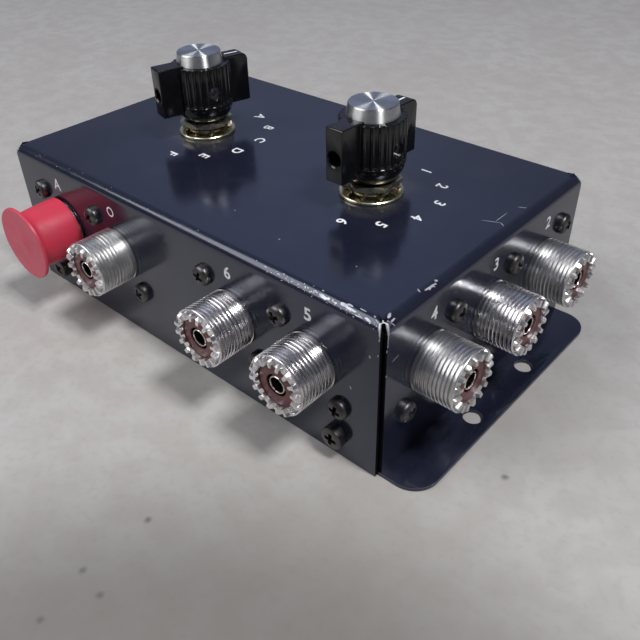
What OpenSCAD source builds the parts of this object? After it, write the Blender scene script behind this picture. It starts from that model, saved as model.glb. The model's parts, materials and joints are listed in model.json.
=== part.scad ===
// Coaxial antenna switch: two six-way rotary switches in a folded steel box,
// with fourteen threaded coaxial jacks round its four sides.
// X runs along the box, Y across it, Z up. The origin is on the underside of
// the base plate, midway between the four flange holes.

/* [Box] */
// Length of the cover along X
cover_len = 141; // [138:0.5:150]
// Depth of the cover along Y
cover_dep = 88.4; // [86:0.2:96]
// Height of the box
cover_h = 45.2; // [44:0.2:50]
// Sheet thickness of the cover
sheet = 0.9; // [0.7:0.1:1.2]
// Outer radius of the folded edges
fold_r = 2.8; // [2:0.1:4]
// Width of the open seam at each corner of the cover
seam = 1.4; // [1.2:0.1:2]
// Gap between the floor and the long flaps
flap_lift = 0.2; // [0:0.1:0.5]
// Thickness of the base plate
base_t = 1; // [0.8:0.1:1.5]
// How far the base plate runs out past each short end
flange_out = 11.2; // [10.5:0.1:16]
// Corner radius of the flanges
flange_r = 7; // [3:0.5:10]
// Diameter of the four mounting holes
hole_d = 5; // [4:0.1:6]
// Distance of the mounting holes from the end of the cover
hole_out = 6.1; // [5:0.1:7]
// Height of the lips that the cover screws on to
lip_h = 10.5; // [10:0.1:11]
// Length of the lips
lip_len = 128; // [124:1:134]

/* [Jacks] */
// Distance between neighbouring jacks
jack_pitch = 26; // [26:0.1:27]
// Distance of the inner jacks on the long sides from the middle
inner_x = 23.4; // [22:0.1:24]
// Height of the jack axes
jack_z = 25; // [24:0.1:26]
// How far the jacks stand out of the cover
jack_out = 12.3; // [11.5:0.1:15]
// Outer diameter of the jack thread
thread_d = 15.875; // [15:0.005:17]
// Depth of the thread groove
thread_depth = 0.55; // [0.3:0.05:0.7]
// Distance from one thread groove to the next
thread_pitch = 1.058; // [1:0.001:1.2]
// Outer diameter of the toothed rim
rim_d = 14.2; // [13.6:0.1:14.6]
// Inner diameter of the jack shell
shell_bore_d = 11; // [10.6:0.1:11.4]
// Number of notches in the rim
rim_notches = 16; // [12:1:20]
// Depth of the rim notches
notch_depth = 1.1; // [0.8:0.1:1.4]
// Side of the square jack flange
jack_flange = 25.4; // [24.5:0.1:25.8]
// Thickness of the jack flange
jack_flange_t = 1.6; // [1.4:0.1:2]
// Distance between jack screws along one side of the flange
screw_pitch = 18.2; // [17.8:0.1:18.6]
// How far the insulator lies behind the rim
insulator_in = 1.3; // [1:0.1:1.8]
// Outer diameter of the centre contact
contact_d = 4.9; // [4.8:0.05:5.2]
// Bore of the centre contact
socket_d = 4; // [3.9:0.01:4.1]
// Depth of the socket in the centre contact
socket_deep = 8.7; // [8:0.1:9]
// How far the contact lies behind the rim
contact_in = 1.5; // [1.4:0.1:1.8]
// Diameter of the contact tail
tail_d = 3.2; // [3:0.1:3.4]
// How far the contact tail reaches behind the face of the cover
tail_reach = 11.5; // [11:0.1:12.5]
// Diameter of the hookup wire
wire_d = 1.6; // [1:0.1:1.8]

/* [Screws] */
// Shank diameter of the jack screws
jack_screw_d = 2.9; // [2.6:0.1:3]
// Head diameter of the jack screws
jack_head_d = 5.7; // [5.2:0.1:6]
// Head height of the jack screws
jack_head_h = 2.1; // [1.6:0.1:2.4]
// Length of the jack screws under the head
jack_screw_len = 6.4; // [6:0.1:7]
// Width across the flats of the jack nuts
jack_nut_af = 5.5; // [5.2:0.1:5.8]
// Height of the jack nuts
jack_nut_h = 2.2; // [1.8:0.1:2.4]
// Shank diameter of the cover screws
cover_screw_d = 3.4; // [3:0.1:3.8]
// Head diameter of the cover screws
cover_head_d = 6.2; // [5.8:0.1:6.6]
// Head height of the cover screws
cover_head_h = 2.7; // [2.2:0.1:3]
// Length of the cover screws under the head
cover_screw_len = 7; // [6:0.5:8]
// Distance of the cover screws from the middle, along X
cover_screw_x = 57.7; // [56.5:0.1:59]
// Height of the cover screws
cover_screw_z = 6.8; // [6.4:0.1:7]

/* [Cap] */
// Wall of the soft cap on the spare jack
cap_wall = 0.9; // [0.7:0.1:1.2]
// Diameter of the cap's front disc
cap_disc_d = 22; // [20:0.5:23]
// Thickness of the rim of the front disc
cap_disc_t = 1.1; // [0.8:0.1:1.6]
// Thickness of the cap's end wall
cap_end_t = 2.2; // [1.8:0.1:2.6]
// Diameter of the waist behind the disc
cap_waist_d = 16.9; // [16.8:0.1:17.6]
// Distance of the cap's mouth from the cover
cap_mouth = 1.2; // [0.9:0.1:2]

/* [Knobs] */
// Distance of each switch shaft from the middle of the box
switch_x = 32.1; // [31:0.1:33]
// Direction in which the antenna knob points at rest, in degrees
antenna_knob_deg = 88; // [60:1:90]
// Direction in which the transmitter knob points at rest, in degrees
transmitter_knob_deg = 75; // [60:1:90]
// Diameter of the fluted knob body
knob_d = 17.4; // [16:0.1:18.5]
// Height of the underside of the knob above the cover
knob_low = 4.8; // [4.7:0.1:5.2]
// Height at which the flutes begin
flute_low = 9.9; // [9.4:0.1:11]
// Height of the top of the fluted body
knob_top = 20.9; // [20:0.1:22]
// Diameter of the underside of the knob
knob_foot_d = 13.4; // [12.8:0.1:14]
// Number of flutes
flutes = 28; // [20:1:36]
// Diameter of each flute
flute_d = 1.3; // [1:0.05:1.5]
// Length of the bar wings from tip to tip
wing_len = 28.6; // [26:0.1:30]
// Thickness of the bar wings
wing_t = 5.4; // [5.2:0.1:6]
// Height of the underside of the wings
wing_low = 7.6; // [7:0.1:9]
// Height of the top of the wings
wing_top = 21.6; // [20.9:0.1:22]
// Diameter of the metal disc on the knob
disc_d = 13.6; // [13:0.1:15]
// Height of the metal disc
disc_h = 3.4; // [3:0.1:4]
// Outer diameter of the brass insert
insert_d = 10; // [9.4:0.1:10.4]
// Height of the top of the insert
insert_top = 18.4; // [17.5:0.1:19]
// Diameter of the set screws
set_screw_d = 3.8; // [3:0.1:4]
// Height of the set screws
set_screw_z = 13.8; // [13:0.1:14.5]
// Length of the set screws
set_screw_len = 4; // [3.6:0.1:4.2]

/* [Switches] */
// Diameter of the switch shafts
shaft_d = 6.35; // [6:0.01:6.4]
// Running clearance round the shaft
run_gap = 0.05; // [0.02:0.01:0.09]
// Diameter of the threaded bushing
bushing_d = 9.6; // [9.4:0.1:9.9]
// How far the bushing stands above the cover
bushing_out = 6.3; // [6:0.1:6.5]
// Width across the flats of the bushing nuts
nut_af = 14.2; // [13.6:0.1:14.6]
// Height of the bushing nuts
nut_h = 1.7; // [1.5:0.1:1.7]
// Direction that a flat of the antenna switch's nut faces, in degrees
antenna_nut_deg = -54; // [-60:1:0]
// Direction that a flat of the transmitter switch's nut faces, in degrees
transmitter_nut_deg = -31; // [-60:1:0]
// Outer diameter of the flat washer
washer_d = 17.1; // [16.9:0.1:18]
// Thickness of the flat washer
washer_t = 0.9; // [0.7:0.1:0.9]
// Outer diameter of the toothed lock washer
lock_d = 15.2; // [14.6:0.1:16]
// Height of the lock washer over its twisted teeth
lock_t = 1.9; // [1.6:0.1:1.9]
// Diameter of the index plate
index_d = 34; // [32.5:0.5:35]
// Thickness of the index plate
index_t = 1.5; // [1.2:0.1:1.8]
// Turn from one switch position to the next, in degrees
step_deg = 30; // [30:1:30]
// Number of switch positions
positions = 6; // [6:1:6]
// Diameter of the star wheel
star_d = 15.2; // [14.8:0.1:15.4]
// Thickness of the star wheel
star_t = 2; // [1.6:0.1:2.2]
// Diameter of the detent ball
ball_d = 3; // [2.6:0.1:3.2]
// Thickness of the detent leaf
leaf_t = 0.4; // [0.3:0.05:0.6]
// Height of the underside of the wafer
wafer_z = 21; // [20.6:0.1:21.4]
// How much wider the wafer is than the index plate
wafer_wider = 1; // [0:0.5:2]
// Thickness of the wafer
wafer_t = 2.6; // [2.4:0.1:2.8]
// Diameter of the hole in the wafer
wafer_bore_d = 18.4; // [18.2:0.1:18.8]
// Diameter of the rotor
rotor_d = 17.8; // [17.4:0.1:17.8]
// Diameter of the ring of the rotor blade
blade_d = 14.4; // [14:0.1:14.8]
// Thickness of the rotor blade
blade_t = 0.4; // [0.3:0.1:0.4]
// Width of the contact clips
clip_w = 2.6; // [2.2:0.1:2.8]
// Thickness of the contact clips
clip_t = 0.5; // [0.4:0.1:0.6]
// How far the clips stand out past the wafer
clip_out = 1.5; // [1.3:0.1:2]
// Distance of the tie screws from the edge of the index plate
tie_edge = 2.5; // [2.3:0.1:2.6]
// Diameter of the tie screws
tie_d = 2.5; // [2.2:0.1:2.6]
// Outer diameter of the spacers
spacer_d = 4.2; // [4:0.1:4.3]

/* [Hidden] */
$fn = 48;
// small gap between pieces that are pressed, soldered or slid together
seat_gap = 0.05;
// gap left between a turning piece and the fixed piece beside it
turn_gap = 0.2;
// extra length by which a cutting shape passes a face
over = 1;

half_len = cover_len / 2;
half_dep = cover_dep / 2;
plate_dep = cover_dep - 2 * sheet - 4 * seat_gap;
outer_x = inner_x + jack_pitch;
ceiling = cover_h - sheet;

thread_r = thread_d / 2;
flange_back = sheet + jack_flange_t;
boss_back = flange_back + jack_nut_h;
shell_boss_d = shell_bore_d + 1.2;
rim_z = jack_out - notch_depth;
chamfer_h = 1.4;
thread_start = 1.3;
thread_end = jack_out - chamfer_h - 0.2;
contact_end = jack_out - contact_in;
socket_end = contact_end - socket_deep;
annulus_d = contact_d + 0.9;
insulator_neck = 2.3;
insulator_step = 1.2;
insulator_back = boss_back + insulator_neck;
contact_collar = 0.4;
cup_deep = 3;
cup_d = wire_d + 0.6;
screw_hole_d = jack_screw_d + 0.3;
// how far the edge of each kind of screw head lies below its middle
jack_head_drop = 0.9;
cover_head_drop = 0.5;
tie_head_drop = 0.7;

cap_bore_d = thread_d + 0.2;
cap_end_in = jack_out + 0.3;
cap_end_out = cap_end_in + cap_end_t;
cap_taper = 6;
cap_draw = 0.15;
cap_edge = 0.3;
cap_waist_h = 0.8;
cap_flare = 1;

bushing_hole_d = bushing_d + 0.2;
shaft_bore_d = shaft_d + 2 * run_gap;
hub_d = bushing_d + 3;
hub_h = 1.4;
hub_low = ceiling - index_t - hub_h;
stop_w = 2;
shaft_end = 2.5;
arm_t = 1;
arm_r = 10;
arm_w = 3;
arm_top = hub_low - turn_gap;
star_top = arm_top - arm_t;
star_low = star_top - star_t;
star_notch_d = ball_d;
ball_r_pos = star_d / 2 + turn_gap + ball_d / 2;
leaf_in = ball_r_pos + ball_d / 2 + seat_gap;
leaf_w = 6;
ball_deg = 135;
arm_deg = 60;
first_deg = 75;
shaft_low = wafer_z - shaft_end;
shaft_high = cover_h + insert_top - shaft_end / 2;
wafer_d = index_d + wafer_wider;
clip_reach = wafer_d / 2 + clip_out;
tie_r = index_d / 2 - tie_edge;
tie_len = ceiling - index_t - wafer_z + 1;
tie_head_h = 1.6;
sweep = step_deg * (positions - 1);
stop_extra = 19;
rotor_t = wafer_t - blade_t - turn_gap;
rotor_top = wafer_z + rotor_t;
common_deg = 120;
nut_low = cover_h + washer_t + lock_t;
lock_ring_d = 12.4;
lock_ring_t = 0.7;
lock_teeth = 10;
lock_first_deg = 6;
lock_twist = 50;
clip_ring_t = 0.7;
knob_bore_low = bushing_out + clip_ring_t + 3 * turn_gap;
recess_gap = 0.7;
foot_lip = 0.7;
foot_round = 1.6;
knob_edge = 0.4;
disc_edge = 0.35;
// how strongly a wire keeps its direction at its ends
wire_bend = 5;
wire_steps = 8;
wire_sides = 8;

// Every jack: side of the box it stands on (0 is +X, 90 is +Y) and its place along that side
JACKS = [
    [90, outer_x],
    [0, jack_pitch],
    [0, 0],
    [0, -jack_pitch],
    [-90, outer_x],
    [-90, inner_x],
    [90, inner_x],
    [-90, -outer_x],
    [180, -jack_pitch],
    [180, 0],
    [180, jack_pitch],
    [90, -outer_x],
    [90, -inner_x],
    [-90, -inner_x]
];
ANTENNA = [0:6];
TRANSMITTER = [7:13];
CAPPED = 7;

// ---- placing ----

// Puts a shape made along +Z on the axis of jack i, with z = 0 at the face of the cover
module at_jack(i) {
    side = JACKS[i][0];
    along = JACKS[i][1];
    across = abs(side) == 90;
    x = across ? along : half_len * cos(side);
    y = across ? half_dep * sin(side) : along;
    translate([x, y, jack_z]) rotate([0, 0, side]) rotate([0, 90, 0]) children();
}

// The two screws of a jack stand on a diagonal of its flange
module at_jack_screws(i) {
    lean = abs(JACKS[i][0]) == 90 ? -1 : 1;
    for (up = [-1, 1])
        translate([up * screw_pitch / 2, -up * lean * screw_pitch / 2, 0]) children();
}

// The antenna switch is 0; the transmitter switch, 1, is the same half a turn round
module at_switch(which) {
    rotate([0, 0, 180 * which]) translate([switch_x, 0, 0]) children();
}

module at_both_switches() {
    for (which = [0, 1]) at_switch(which) children();
}

// Places a knob piece on its shaft with its pointer along the given direction
module at_knob(which, deg) {
    x = which == 0 ? switch_x : -switch_x;
    translate([x, 0, cover_h]) rotate([0, 0, deg]) children();
}

module at_cover_screws() {
    for (x = [-cover_screw_x, cover_screw_x], side = [-1, 1])
        translate([x, side * half_dep, cover_screw_z]) rotate([-90 * side, 0, 0]) children();
}

// ---- shared shapes ----

module rounded_rect(w, d, r) {
    square([w - 2 * r, d], center = true);
    square([w, d - 2 * r], center = true);
    for (x = [-1, 1], y = [-1, 1])
        translate([x * (w / 2 - r), y * (d / 2 - r)]) circle(r);
}

// Cross-section of the cover: straight sides and two rounded top corners
module fold_outline(w, h, r) {
    translate([-w / 2, 0]) square([w, h - r]);
    translate([-w / 2 + r, 0]) square([w - 2 * r, h]);
    for (x = [-1, 1]) translate([x * (w / 2 - r), h - r]) circle(r);
}

module fold_block(len, dep, h, r) {
    intersection() {
        rotate([90, 0, 90]) linear_extrude(len + over, center = true) fold_outline(dep, h, r);
        rotate([90, 0, 0]) linear_extrude(dep + over, center = true) fold_outline(len, h, r);
    }
}

// Pan-head screw along -Z, its head above z = 0; the edge of the head lies drop below the middle
module pan_screw(d, len, head_d, head_h, drop) {
    slot_w = head_d * 0.15;
    slot_len = head_d * 0.52;
    dome_r = (head_d * head_d / 4 + drop * drop) / (2 * drop);
    difference() {
        union() {
            intersection() {
                cylinder(d = head_d, h = head_h);
                translate([0, 0, head_h - dome_r]) sphere(dome_r);
            }
            translate([0, 0, -len]) cylinder(d = d, h = len + head_h * 0.2);
        }
        for (a = [0, 90])
            rotate([0, 0, a + 20]) translate([-slot_len / 2, -slot_w / 2, head_h * 0.4])
                cube([slot_len, slot_w, head_h]);
    }
}

module tube(d_out, d_in, h) {
    difference() {
        cylinder(d = d_out, h = h);
        translate([0, 0, -over]) cylinder(d = d_in, h = h + 2 * over);
    }
}

// ---- box ----

module top_cover() {
    color([0.13, 0.14, 0.18]) difference() {
        fold_block(cover_len, cover_dep, cover_h, fold_r);
        translate([0, 0, -sheet])
            fold_block(cover_len - 2 * sheet, cover_dep - 2 * sheet, cover_h, fold_r - sheet);
        // the long flaps stop just off the floor, the short ones on the base plate
        translate([-cover_len, -cover_dep, -over])
            cube([2 * cover_len, 2 * cover_dep, over + flap_lift]);
        for (x = [-1, 1])
            translate([x * half_len - (x > 0 ? sheet + seat_gap : over), sheet - half_dep, -over])
                cube([sheet + seat_gap + over, cover_dep - 2 * sheet, over + base_t + seat_gap]);
        corner_seams();
        for (i = [0:len(JACKS) - 1]) at_jack(i) {
            translate([0, 0, -sheet - over]) cylinder(d = thread_d + 0.3, h = sheet + 2 * over);
            at_jack_screws(i) translate([0, 0, -sheet - over])
                cylinder(d = screw_hole_d, h = sheet + 2 * over);
        }
        at_both_switches() translate([0, 0, ceiling - over])
            cylinder(d = bushing_hole_d, h = sheet + 2 * over);
        at_cover_screws() translate([0, 0, -sheet - over])
            cylinder(d = cover_screw_d + 0.4, h = sheet + 2 * over);
    }
}

// Open seams between the flaps, each ending in a round relief at the fold
module corner_seams() {
    seam_top = cover_h - fold_r;
    for (sx = [-1, 1], sy = [-1, 1]) {
        x = sx * (half_len - seam);
        y = sy * (half_dep - sheet - seat_gap);
        translate([min(x, x + sx * (seam + over)), min(y, y + sy * (sheet + over)), -over])
            cube([seam + over, sheet + over, seam_top + over]);
        translate([sx * half_len, sy * half_dep, seam_top]) rotate([0, 0, 45 * sx * sy])
            rotate([90, 0, 90]) cylinder(r = seam * 0.6, h = 4 * sheet, center = true);
    }
}

module base_plate() {
    color([0.12, 0.13, 0.17]) difference() {
        union() {
            linear_extrude(base_t)
                rounded_rect(cover_len + 2 * flange_out, plate_dep, flange_r);
            for (side = [-1, 1])
                translate([-lip_len / 2, side * plate_dep / 2 - (side > 0 ? base_t : 0), 0])
                    cube([lip_len, base_t, lip_h]);
        }
        for (x = [-1, 1], y = [-1, 1])
            translate([x * (half_len + hole_out), y * jack_pitch / 2, -over])
                cylinder(d = hole_d, h = base_t + 2 * over);
        at_cover_screws() translate([0, 0, -cover_screw_len])
            cylinder(d = cover_screw_d + 2 * seat_gap, h = cover_screw_len);
    }
}

module cover_screws() {
    color([0.08, 0.08, 0.1]) at_cover_screws()
        pan_screw(cover_screw_d, cover_screw_len, cover_head_d, cover_head_h, cover_head_drop);
}

// ---- jacks ----

module jack_shell(i) {
    color([0.72, 0.71, 0.68]) at_jack(i) difference() {
        union() {
            translate([0, 0, -boss_back]) cylinder(d = shell_boss_d, h = boss_back);
            translate([-jack_flange / 2, -jack_flange / 2, -flange_back])
                cube([jack_flange, jack_flange, jack_flange_t]);
            translate([0, 0, -sheet]) threaded_barrel();
        }
        translate([0, 0, -boss_back - over])
            cylinder(d = shell_bore_d, h = boss_back + jack_out + 2 * over);
        rim_gaps();
        for (x = [-1, 1], y = [-1, 1])
            translate([x * screw_pitch / 2, y * screw_pitch / 2, -flange_back - over])
                cylinder(d = screw_hole_d, h = jack_flange_t + 2 * over);
    }
}

// Barrel with its thread cut as a row of grooves, chamfered down to the rim
module threaded_barrel() {
    z0 = sheet;
    grooves = floor((thread_end - thread_start) / thread_pitch);
    rotate_extrude() polygon(concat(
        [[0, 0], [thread_r, 0], [thread_r, z0 + thread_start]],
        [for (k = [0:grooves - 1], p = [0:3])
            let (z = z0 + thread_start + (k + [0.25, 0.55, 0.65, 0.95][p]) * thread_pitch)
            [thread_r - (p == 1 || p == 2 ? thread_depth : 0), z]],
        [[thread_r, z0 + thread_end], [rim_d / 2, z0 + jack_out - chamfer_h + 0.5],
         [rim_d / 2, z0 + jack_out], [0, z0 + jack_out]]
    ));
}

module rim_gaps() {
    notch_w = PI * rim_d / rim_notches / 2;
    for (k = [0:rim_notches - 1])
        rotate([0, 0, k * 360 / rim_notches]) translate([rim_d / 4, -notch_w / 2, rim_z])
            cube([rim_d / 4 + over, notch_w, notch_depth + over]);
}

module insulator(i) {
    at_jack(i) difference() {
        union() {
            translate([0, 0, -boss_back])
                cylinder(d = shell_bore_d - 2 * seat_gap, h = boss_back + jack_out - insulator_in);
            translate([0, 0, -insulator_back])
                cylinder(d = shell_bore_d - 2 * insulator_step, h = insulator_neck + over);
        }
        translate([0, 0, socket_end]) cylinder(d = annulus_d, h = jack_out);
        translate([0, 0, -insulator_back - over])
            cylinder(d = contact_d + 2 * seat_gap, h = insulator_back + socket_end + 2 * over);
    }
}

module insulators(group) {
    color([0.44, 0.27, 0.25]) for (i = group) insulator(i);
}

// Centre contact: a slotted socket in front and a solder cup behind
module contact(i) {
    slot_w = 0.4;
    at_jack(i) difference() {
        union() {
            translate([0, 0, -insulator_back - contact_collar])
                cylinder(d = contact_d, h = insulator_back + contact_collar + contact_end);
            translate([0, 0, -tail_reach]) cylinder(d = tail_d, h = tail_reach);
        }
        translate([0, 0, socket_end]) cylinder(d = socket_d, h = socket_deep + over);
        translate([0, 0, -tail_reach - over]) cylinder(d = cup_d, h = cup_deep + over);
        for (a = [0, 90]) rotate([0, 0, a + 35])
            translate([-contact_d, -slot_w / 2, contact_end - socket_deep / 2])
                cube([2 * contact_d, slot_w, socket_deep]);
    }
}

module contacts(group) {
    color([0.75, 0.74, 0.7]) for (i = group) contact(i);
}

module jack_screws() {
    color([0.1, 0.1, 0.12]) for (i = [0:len(JACKS) - 1]) at_jack(i) at_jack_screws(i)
        pan_screw(jack_screw_d, jack_screw_len, jack_head_d, jack_head_h, jack_head_drop);
}

module jack_nuts() {
    color([0.7, 0.7, 0.68]) for (i = [0:len(JACKS) - 1]) at_jack(i) at_jack_screws(i)
        translate([0, 0, -flange_back - jack_nut_h]) difference() {
            cylinder(d = jack_nut_af / cos(30), h = jack_nut_h, $fn = 6);
            translate([0, 0, -over])
                cylinder(d = jack_screw_d + 2 * seat_gap, h = jack_nut_h + 2 * over);
        }
}

// ---- wires ----

// Point on the curve that leaves a along the vector va and reaches b along vb
function curve_point(a, va, vb, b, t) =
    pow(1 - t, 3) * a + 3 * t * pow(1 - t, 2) * (a + va)
    + 3 * t * t * (1 - t) * (b - vb) + pow(t, 3) * b;

// Direction of that curve
function curve_direction(a, va, vb, b, t) =
    pow(1 - t, 2) * va + 2 * t * (1 - t) * (b - vb - a - va) + t * t * vb;

// Ring of points round p, square to the direction v, which is never upright
function wire_ring(p, v) =
    let (side = cross(v, [0, 0, 1]) / norm(cross(v, [0, 0, 1])),
         up = cross(side, v) / norm(v))
    [for (k = [0:wire_sides - 1])
        let (turn = k * 360 / wire_sides)
        p + wire_d / 2 * (cos(turn) * side + sin(turn) * up)];

// Solid through a list of rings
module swept(rings) {
    n = len(rings[0]);
    last = (len(rings) - 1) * n;
    polyhedron(
        points = [for (ring = rings) each ring],
        faces = concat(
            [for (k = [1:n - 2]) [0, k + 1, k]],
            [for (i = [0:len(rings) - 2], k = [0:n - 1])
                let (a = i * n + k, b = i * n + (k + 1) % n)
                each [[a, b, b + n], [a, b + n, a + n]]],
            [for (k = [1:n - 2]) [last, last + k, last + k + 1]]
        )
    );
}

// Wire from a clip of the switch to the solder cup of a jack, in the switch's own frame.
// The jack's axis leaves the box along the direction out, and meets its face at foot.
module wire(clip_deg, foot, out) {
    lug = [cos(clip_deg), sin(clip_deg), 0];
    start = clip_reach * lug + [0, 0, wafer_z + wafer_t + clip_t / 2];
    mouth = foot - (tail_reach + wire_d / 2) * out;
    cup = foot - (tail_reach - cup_deep + seat_gap) * out;
    swept(concat(
        [for (k = [0:wire_steps])
            let (t = k / wire_steps, va = wire_bend * lug, vb = wire_bend * out)
            wire_ring(curve_point(start, va, vb, mouth, t),
                      curve_direction(start, va, vb, mouth, t))],
        [wire_ring(cup, out)]
    ));
}

module switch_wires(which) {
    inner = inner_x - switch_x;
    outer = outer_x - switch_x;
    end = half_len - switch_x;
    color([0.8, 0.5, 0.3]) at_switch(which) {
        wire(first_deg, [outer, half_dep, jack_z], [0, 1, 0]);
        for (k = [0:2])
            wire(first_deg - (k + 1) * step_deg, [end, (1 - k) * jack_pitch, jack_z], [1, 0, 0]);
        wire(first_deg - 4 * step_deg, [outer, -half_dep, jack_z], [0, -1, 0]);
        wire(first_deg - 5 * step_deg, [inner, -half_dep, jack_z], [0, -1, 0]);
        wire(common_deg, [inner, half_dep, jack_z], [0, 1, 0]);
    }
}

// ---- cap ----

module spare_jack_cap() {
    skirt_r = cap_bore_d / 2 + cap_wall;
    disc_r = cap_disc_d / 2;
    waist_r = cap_waist_d / 2;
    color([0.75, 0.13, 0.2]) at_jack(CAPPED) rotate_extrude() polygon([
        [cap_bore_d / 2, cap_mouth],
        [skirt_r, cap_mouth],
        [skirt_r, cap_end_in - cap_taper],
        [skirt_r - cap_draw, cap_end_in - cap_taper / 2],
        [waist_r + cap_draw, cap_end_in - 2 * cap_waist_h],
        [waist_r + cap_draw, cap_end_in - cap_waist_h],
        [waist_r + cap_waist_h, cap_end_out - cap_disc_t - cap_flare],
        [disc_r - cap_edge, cap_end_out - cap_disc_t],
        [disc_r, cap_end_out - cap_disc_t + cap_edge],
        [disc_r, cap_end_out - cap_edge],
        [disc_r - cap_edge, cap_end_out],
        [0, cap_end_out],
        [0, cap_end_in],
        [cap_bore_d / 2, cap_end_in]
    ]);
}

// ---- knobs: pieces stand on z = 0 at the top of the cover, pointer along +X ----

module knob(which, deg) {
    color([0.07, 0.07, 0.08]) at_knob(which, deg) difference() {
        union() {
            intersection() {
                rotate_extrude() polygon([
                    [0, knob_low], [knob_foot_d / 2, knob_low],
                    [knob_d / 2 - foot_lip, flute_low - foot_round],
                    [knob_d / 2, flute_low - knob_edge],
                    [knob_d / 2, knob_top - knob_edge], [knob_d / 2 - knob_edge, knob_top],
                    [0, knob_top]
                ]);
                fluted_mask();
            }
            wings();
        }
        translate([0, 0, knob_low - over])
            cylinder(d = bushing_d + 2 * recess_gap, h = knob_bore_low - knob_low + over);
        cylinder(d = insert_d + 2 * seat_gap, h = insert_top + seat_gap);
        set_screw_holes(set_screw_d + 0.8);
    }
}

// Everything inside the flutes: used to cut them into the upper part of the body
module fluted_mask() {
    difference() {
        cylinder(d = knob_d + over, h = knob_top + over);
        for (k = [0:flutes - 1])
            rotate([0, 0, (k + 0.5) * 360 / flutes]) translate([knob_d / 2 + flute_d * 0.12, 0, flute_low])
                cylinder(d = flute_d, h = knob_top);
    }
}

module wings() {
    bar_h = wing_top - wing_low;
    translate([-wing_len / 2, -wing_t / 2, wing_low]) difference() {
        cube([wing_len, wing_t, bar_h]);
        // the metal disc stands clear in the middle
        translate([wing_len / 2, wing_t / 2, knob_top - wing_low])
            cylinder(d = disc_d + 0.8, h = bar_h);
    }
}

module set_screw_holes(d) {
    for (a = [180, -90]) rotate([0, 0, a]) translate([0, 0, set_screw_z])
        rotate([0, 90, 0]) cylinder(d = d, h = wing_len);
}

module knob_disc(which, deg) {
    color([0.8, 0.8, 0.82]) at_knob(which, deg) translate([0, 0, knob_top])
        rotate_extrude() polygon([
            [0, 0], [disc_d / 2, 0], [disc_d / 2, disc_h - disc_edge],
            [disc_d / 2 - disc_edge, disc_h], [0, disc_h]
        ]);
}

module knob_insert(which, deg) {
    color([0.75, 0.6, 0.3]) at_knob(which, deg) difference() {
        translate([0, 0, knob_bore_low])
            tube(insert_d, shaft_d + 2 * seat_gap, insert_top - knob_bore_low);
        set_screw_holes(set_screw_d + 2 * seat_gap);
    }
}

module set_screws(which, deg) {
    socket = set_screw_d * 0.52;
    color([0.2, 0.2, 0.22]) at_knob(which, deg) for (a = [180, -90])
        rotate([0, 0, a]) translate([shaft_d / 2 + seat_gap, 0, set_screw_z])
            rotate([0, 90, 0]) difference() {
                cylinder(d = set_screw_d, h = set_screw_len);
                translate([0, 0, set_screw_len / 2]) cylinder(d = socket, h = set_screw_len, $fn = 6);
            }
}

// ---- switches: pieces stand round the shaft, in the frame of the antenna switch ----

module shaft(which) {
    color([0.7, 0.7, 0.72]) at_switch(which) translate([0, 0, shaft_low])
        cylinder(d = shaft_d, h = shaft_high - shaft_low);
}

// Retaining ring on the shaft, just above the bushing
module shaft_clip(which) {
    color([0.5, 0.5, 0.52]) at_switch(which)
        translate([0, 0, cover_h + bushing_out + turn_gap]) difference() {
            tube(bushing_d, shaft_d + 2 * seat_gap, clip_ring_t);
            translate([0, -1, -over]) cube([bushing_d, 2, clip_ring_t + 2 * over]);
        }
}

// Star wheel with one notch per position, and the arm that meets the stops
module star_wheel(which) {
    notches = 360 / step_deg;
    color([0.72, 0.7, 0.6]) at_switch(which) difference() {
        union() {
            translate([0, 0, star_low]) difference() {
                cylinder(d = star_d, h = star_t);
                for (k = [0:notches - 1])
                    rotate([0, 0, ball_deg + k * step_deg])
                        translate([star_d / 2 + star_notch_d * 0.2, 0, -over])
                            cylinder(d = star_notch_d, h = star_t + 2 * over);
            }
            translate([0, 0, star_top]) intersection() {
                rotate([0, 0, arm_deg]) translate([0, -arm_w / 2, 0]) cube([arm_r, arm_w, arm_t]);
                cylinder(r = arm_r, h = arm_t);
            }
        }
        translate([0, 0, star_low - over])
            cylinder(d = shaft_d + 2 * seat_gap, h = star_t + arm_t + 2 * over);
    }
}

// Bushing with the index plate, the stops and the tapped holes for the tie screws
module bushing(which) {
    color([0.72, 0.7, 0.6]) at_switch(which) difference() {
        union() {
            translate([0, 0, ceiling - index_t]) cylinder(d = index_d, h = index_t);
            translate([0, 0, hub_low]) cylinder(d = hub_d, h = ceiling - hub_low);
            translate([0, 0, ceiling]) cylinder(d = bushing_d, h = sheet + bushing_out);
            for (a = [arm_deg + stop_extra, arm_deg - sweep - stop_extra])
                rotate([0, 0, a]) translate([arm_r - stop_w, -stop_w / 2, star_top])
                    cube([stop_w + turn_gap, stop_w, ceiling - star_top]);
        }
        translate([0, 0, hub_low - over])
            cylinder(d = shaft_bore_d, h = ceiling - hub_low + sheet + bushing_out + 2 * over);
        for (x = [-tie_r, tie_r]) translate([x, 0, ceiling - index_t - over])
            cylinder(d = tie_d + 2 * seat_gap, h = index_t + 2 * over);
    }
}

// The corners of each nut lie 30 degrees to either side of the flat whose direction is given
module bushing_nuts() {
    color([0.78, 0.74, 0.55]) for (which = [0, 1]) at_switch(which) translate([0, 0, nut_low])
        difference() {
            rotate([0, 0, 30 + (which == 0 ? antenna_nut_deg : transmitter_nut_deg)])
                cylinder(d = nut_af / cos(30), h = nut_h, $fn = 6);
            translate([0, 0, -over]) cylinder(d = bushing_d + 2 * seat_gap, h = nut_h + 2 * over);
        }
}

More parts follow.
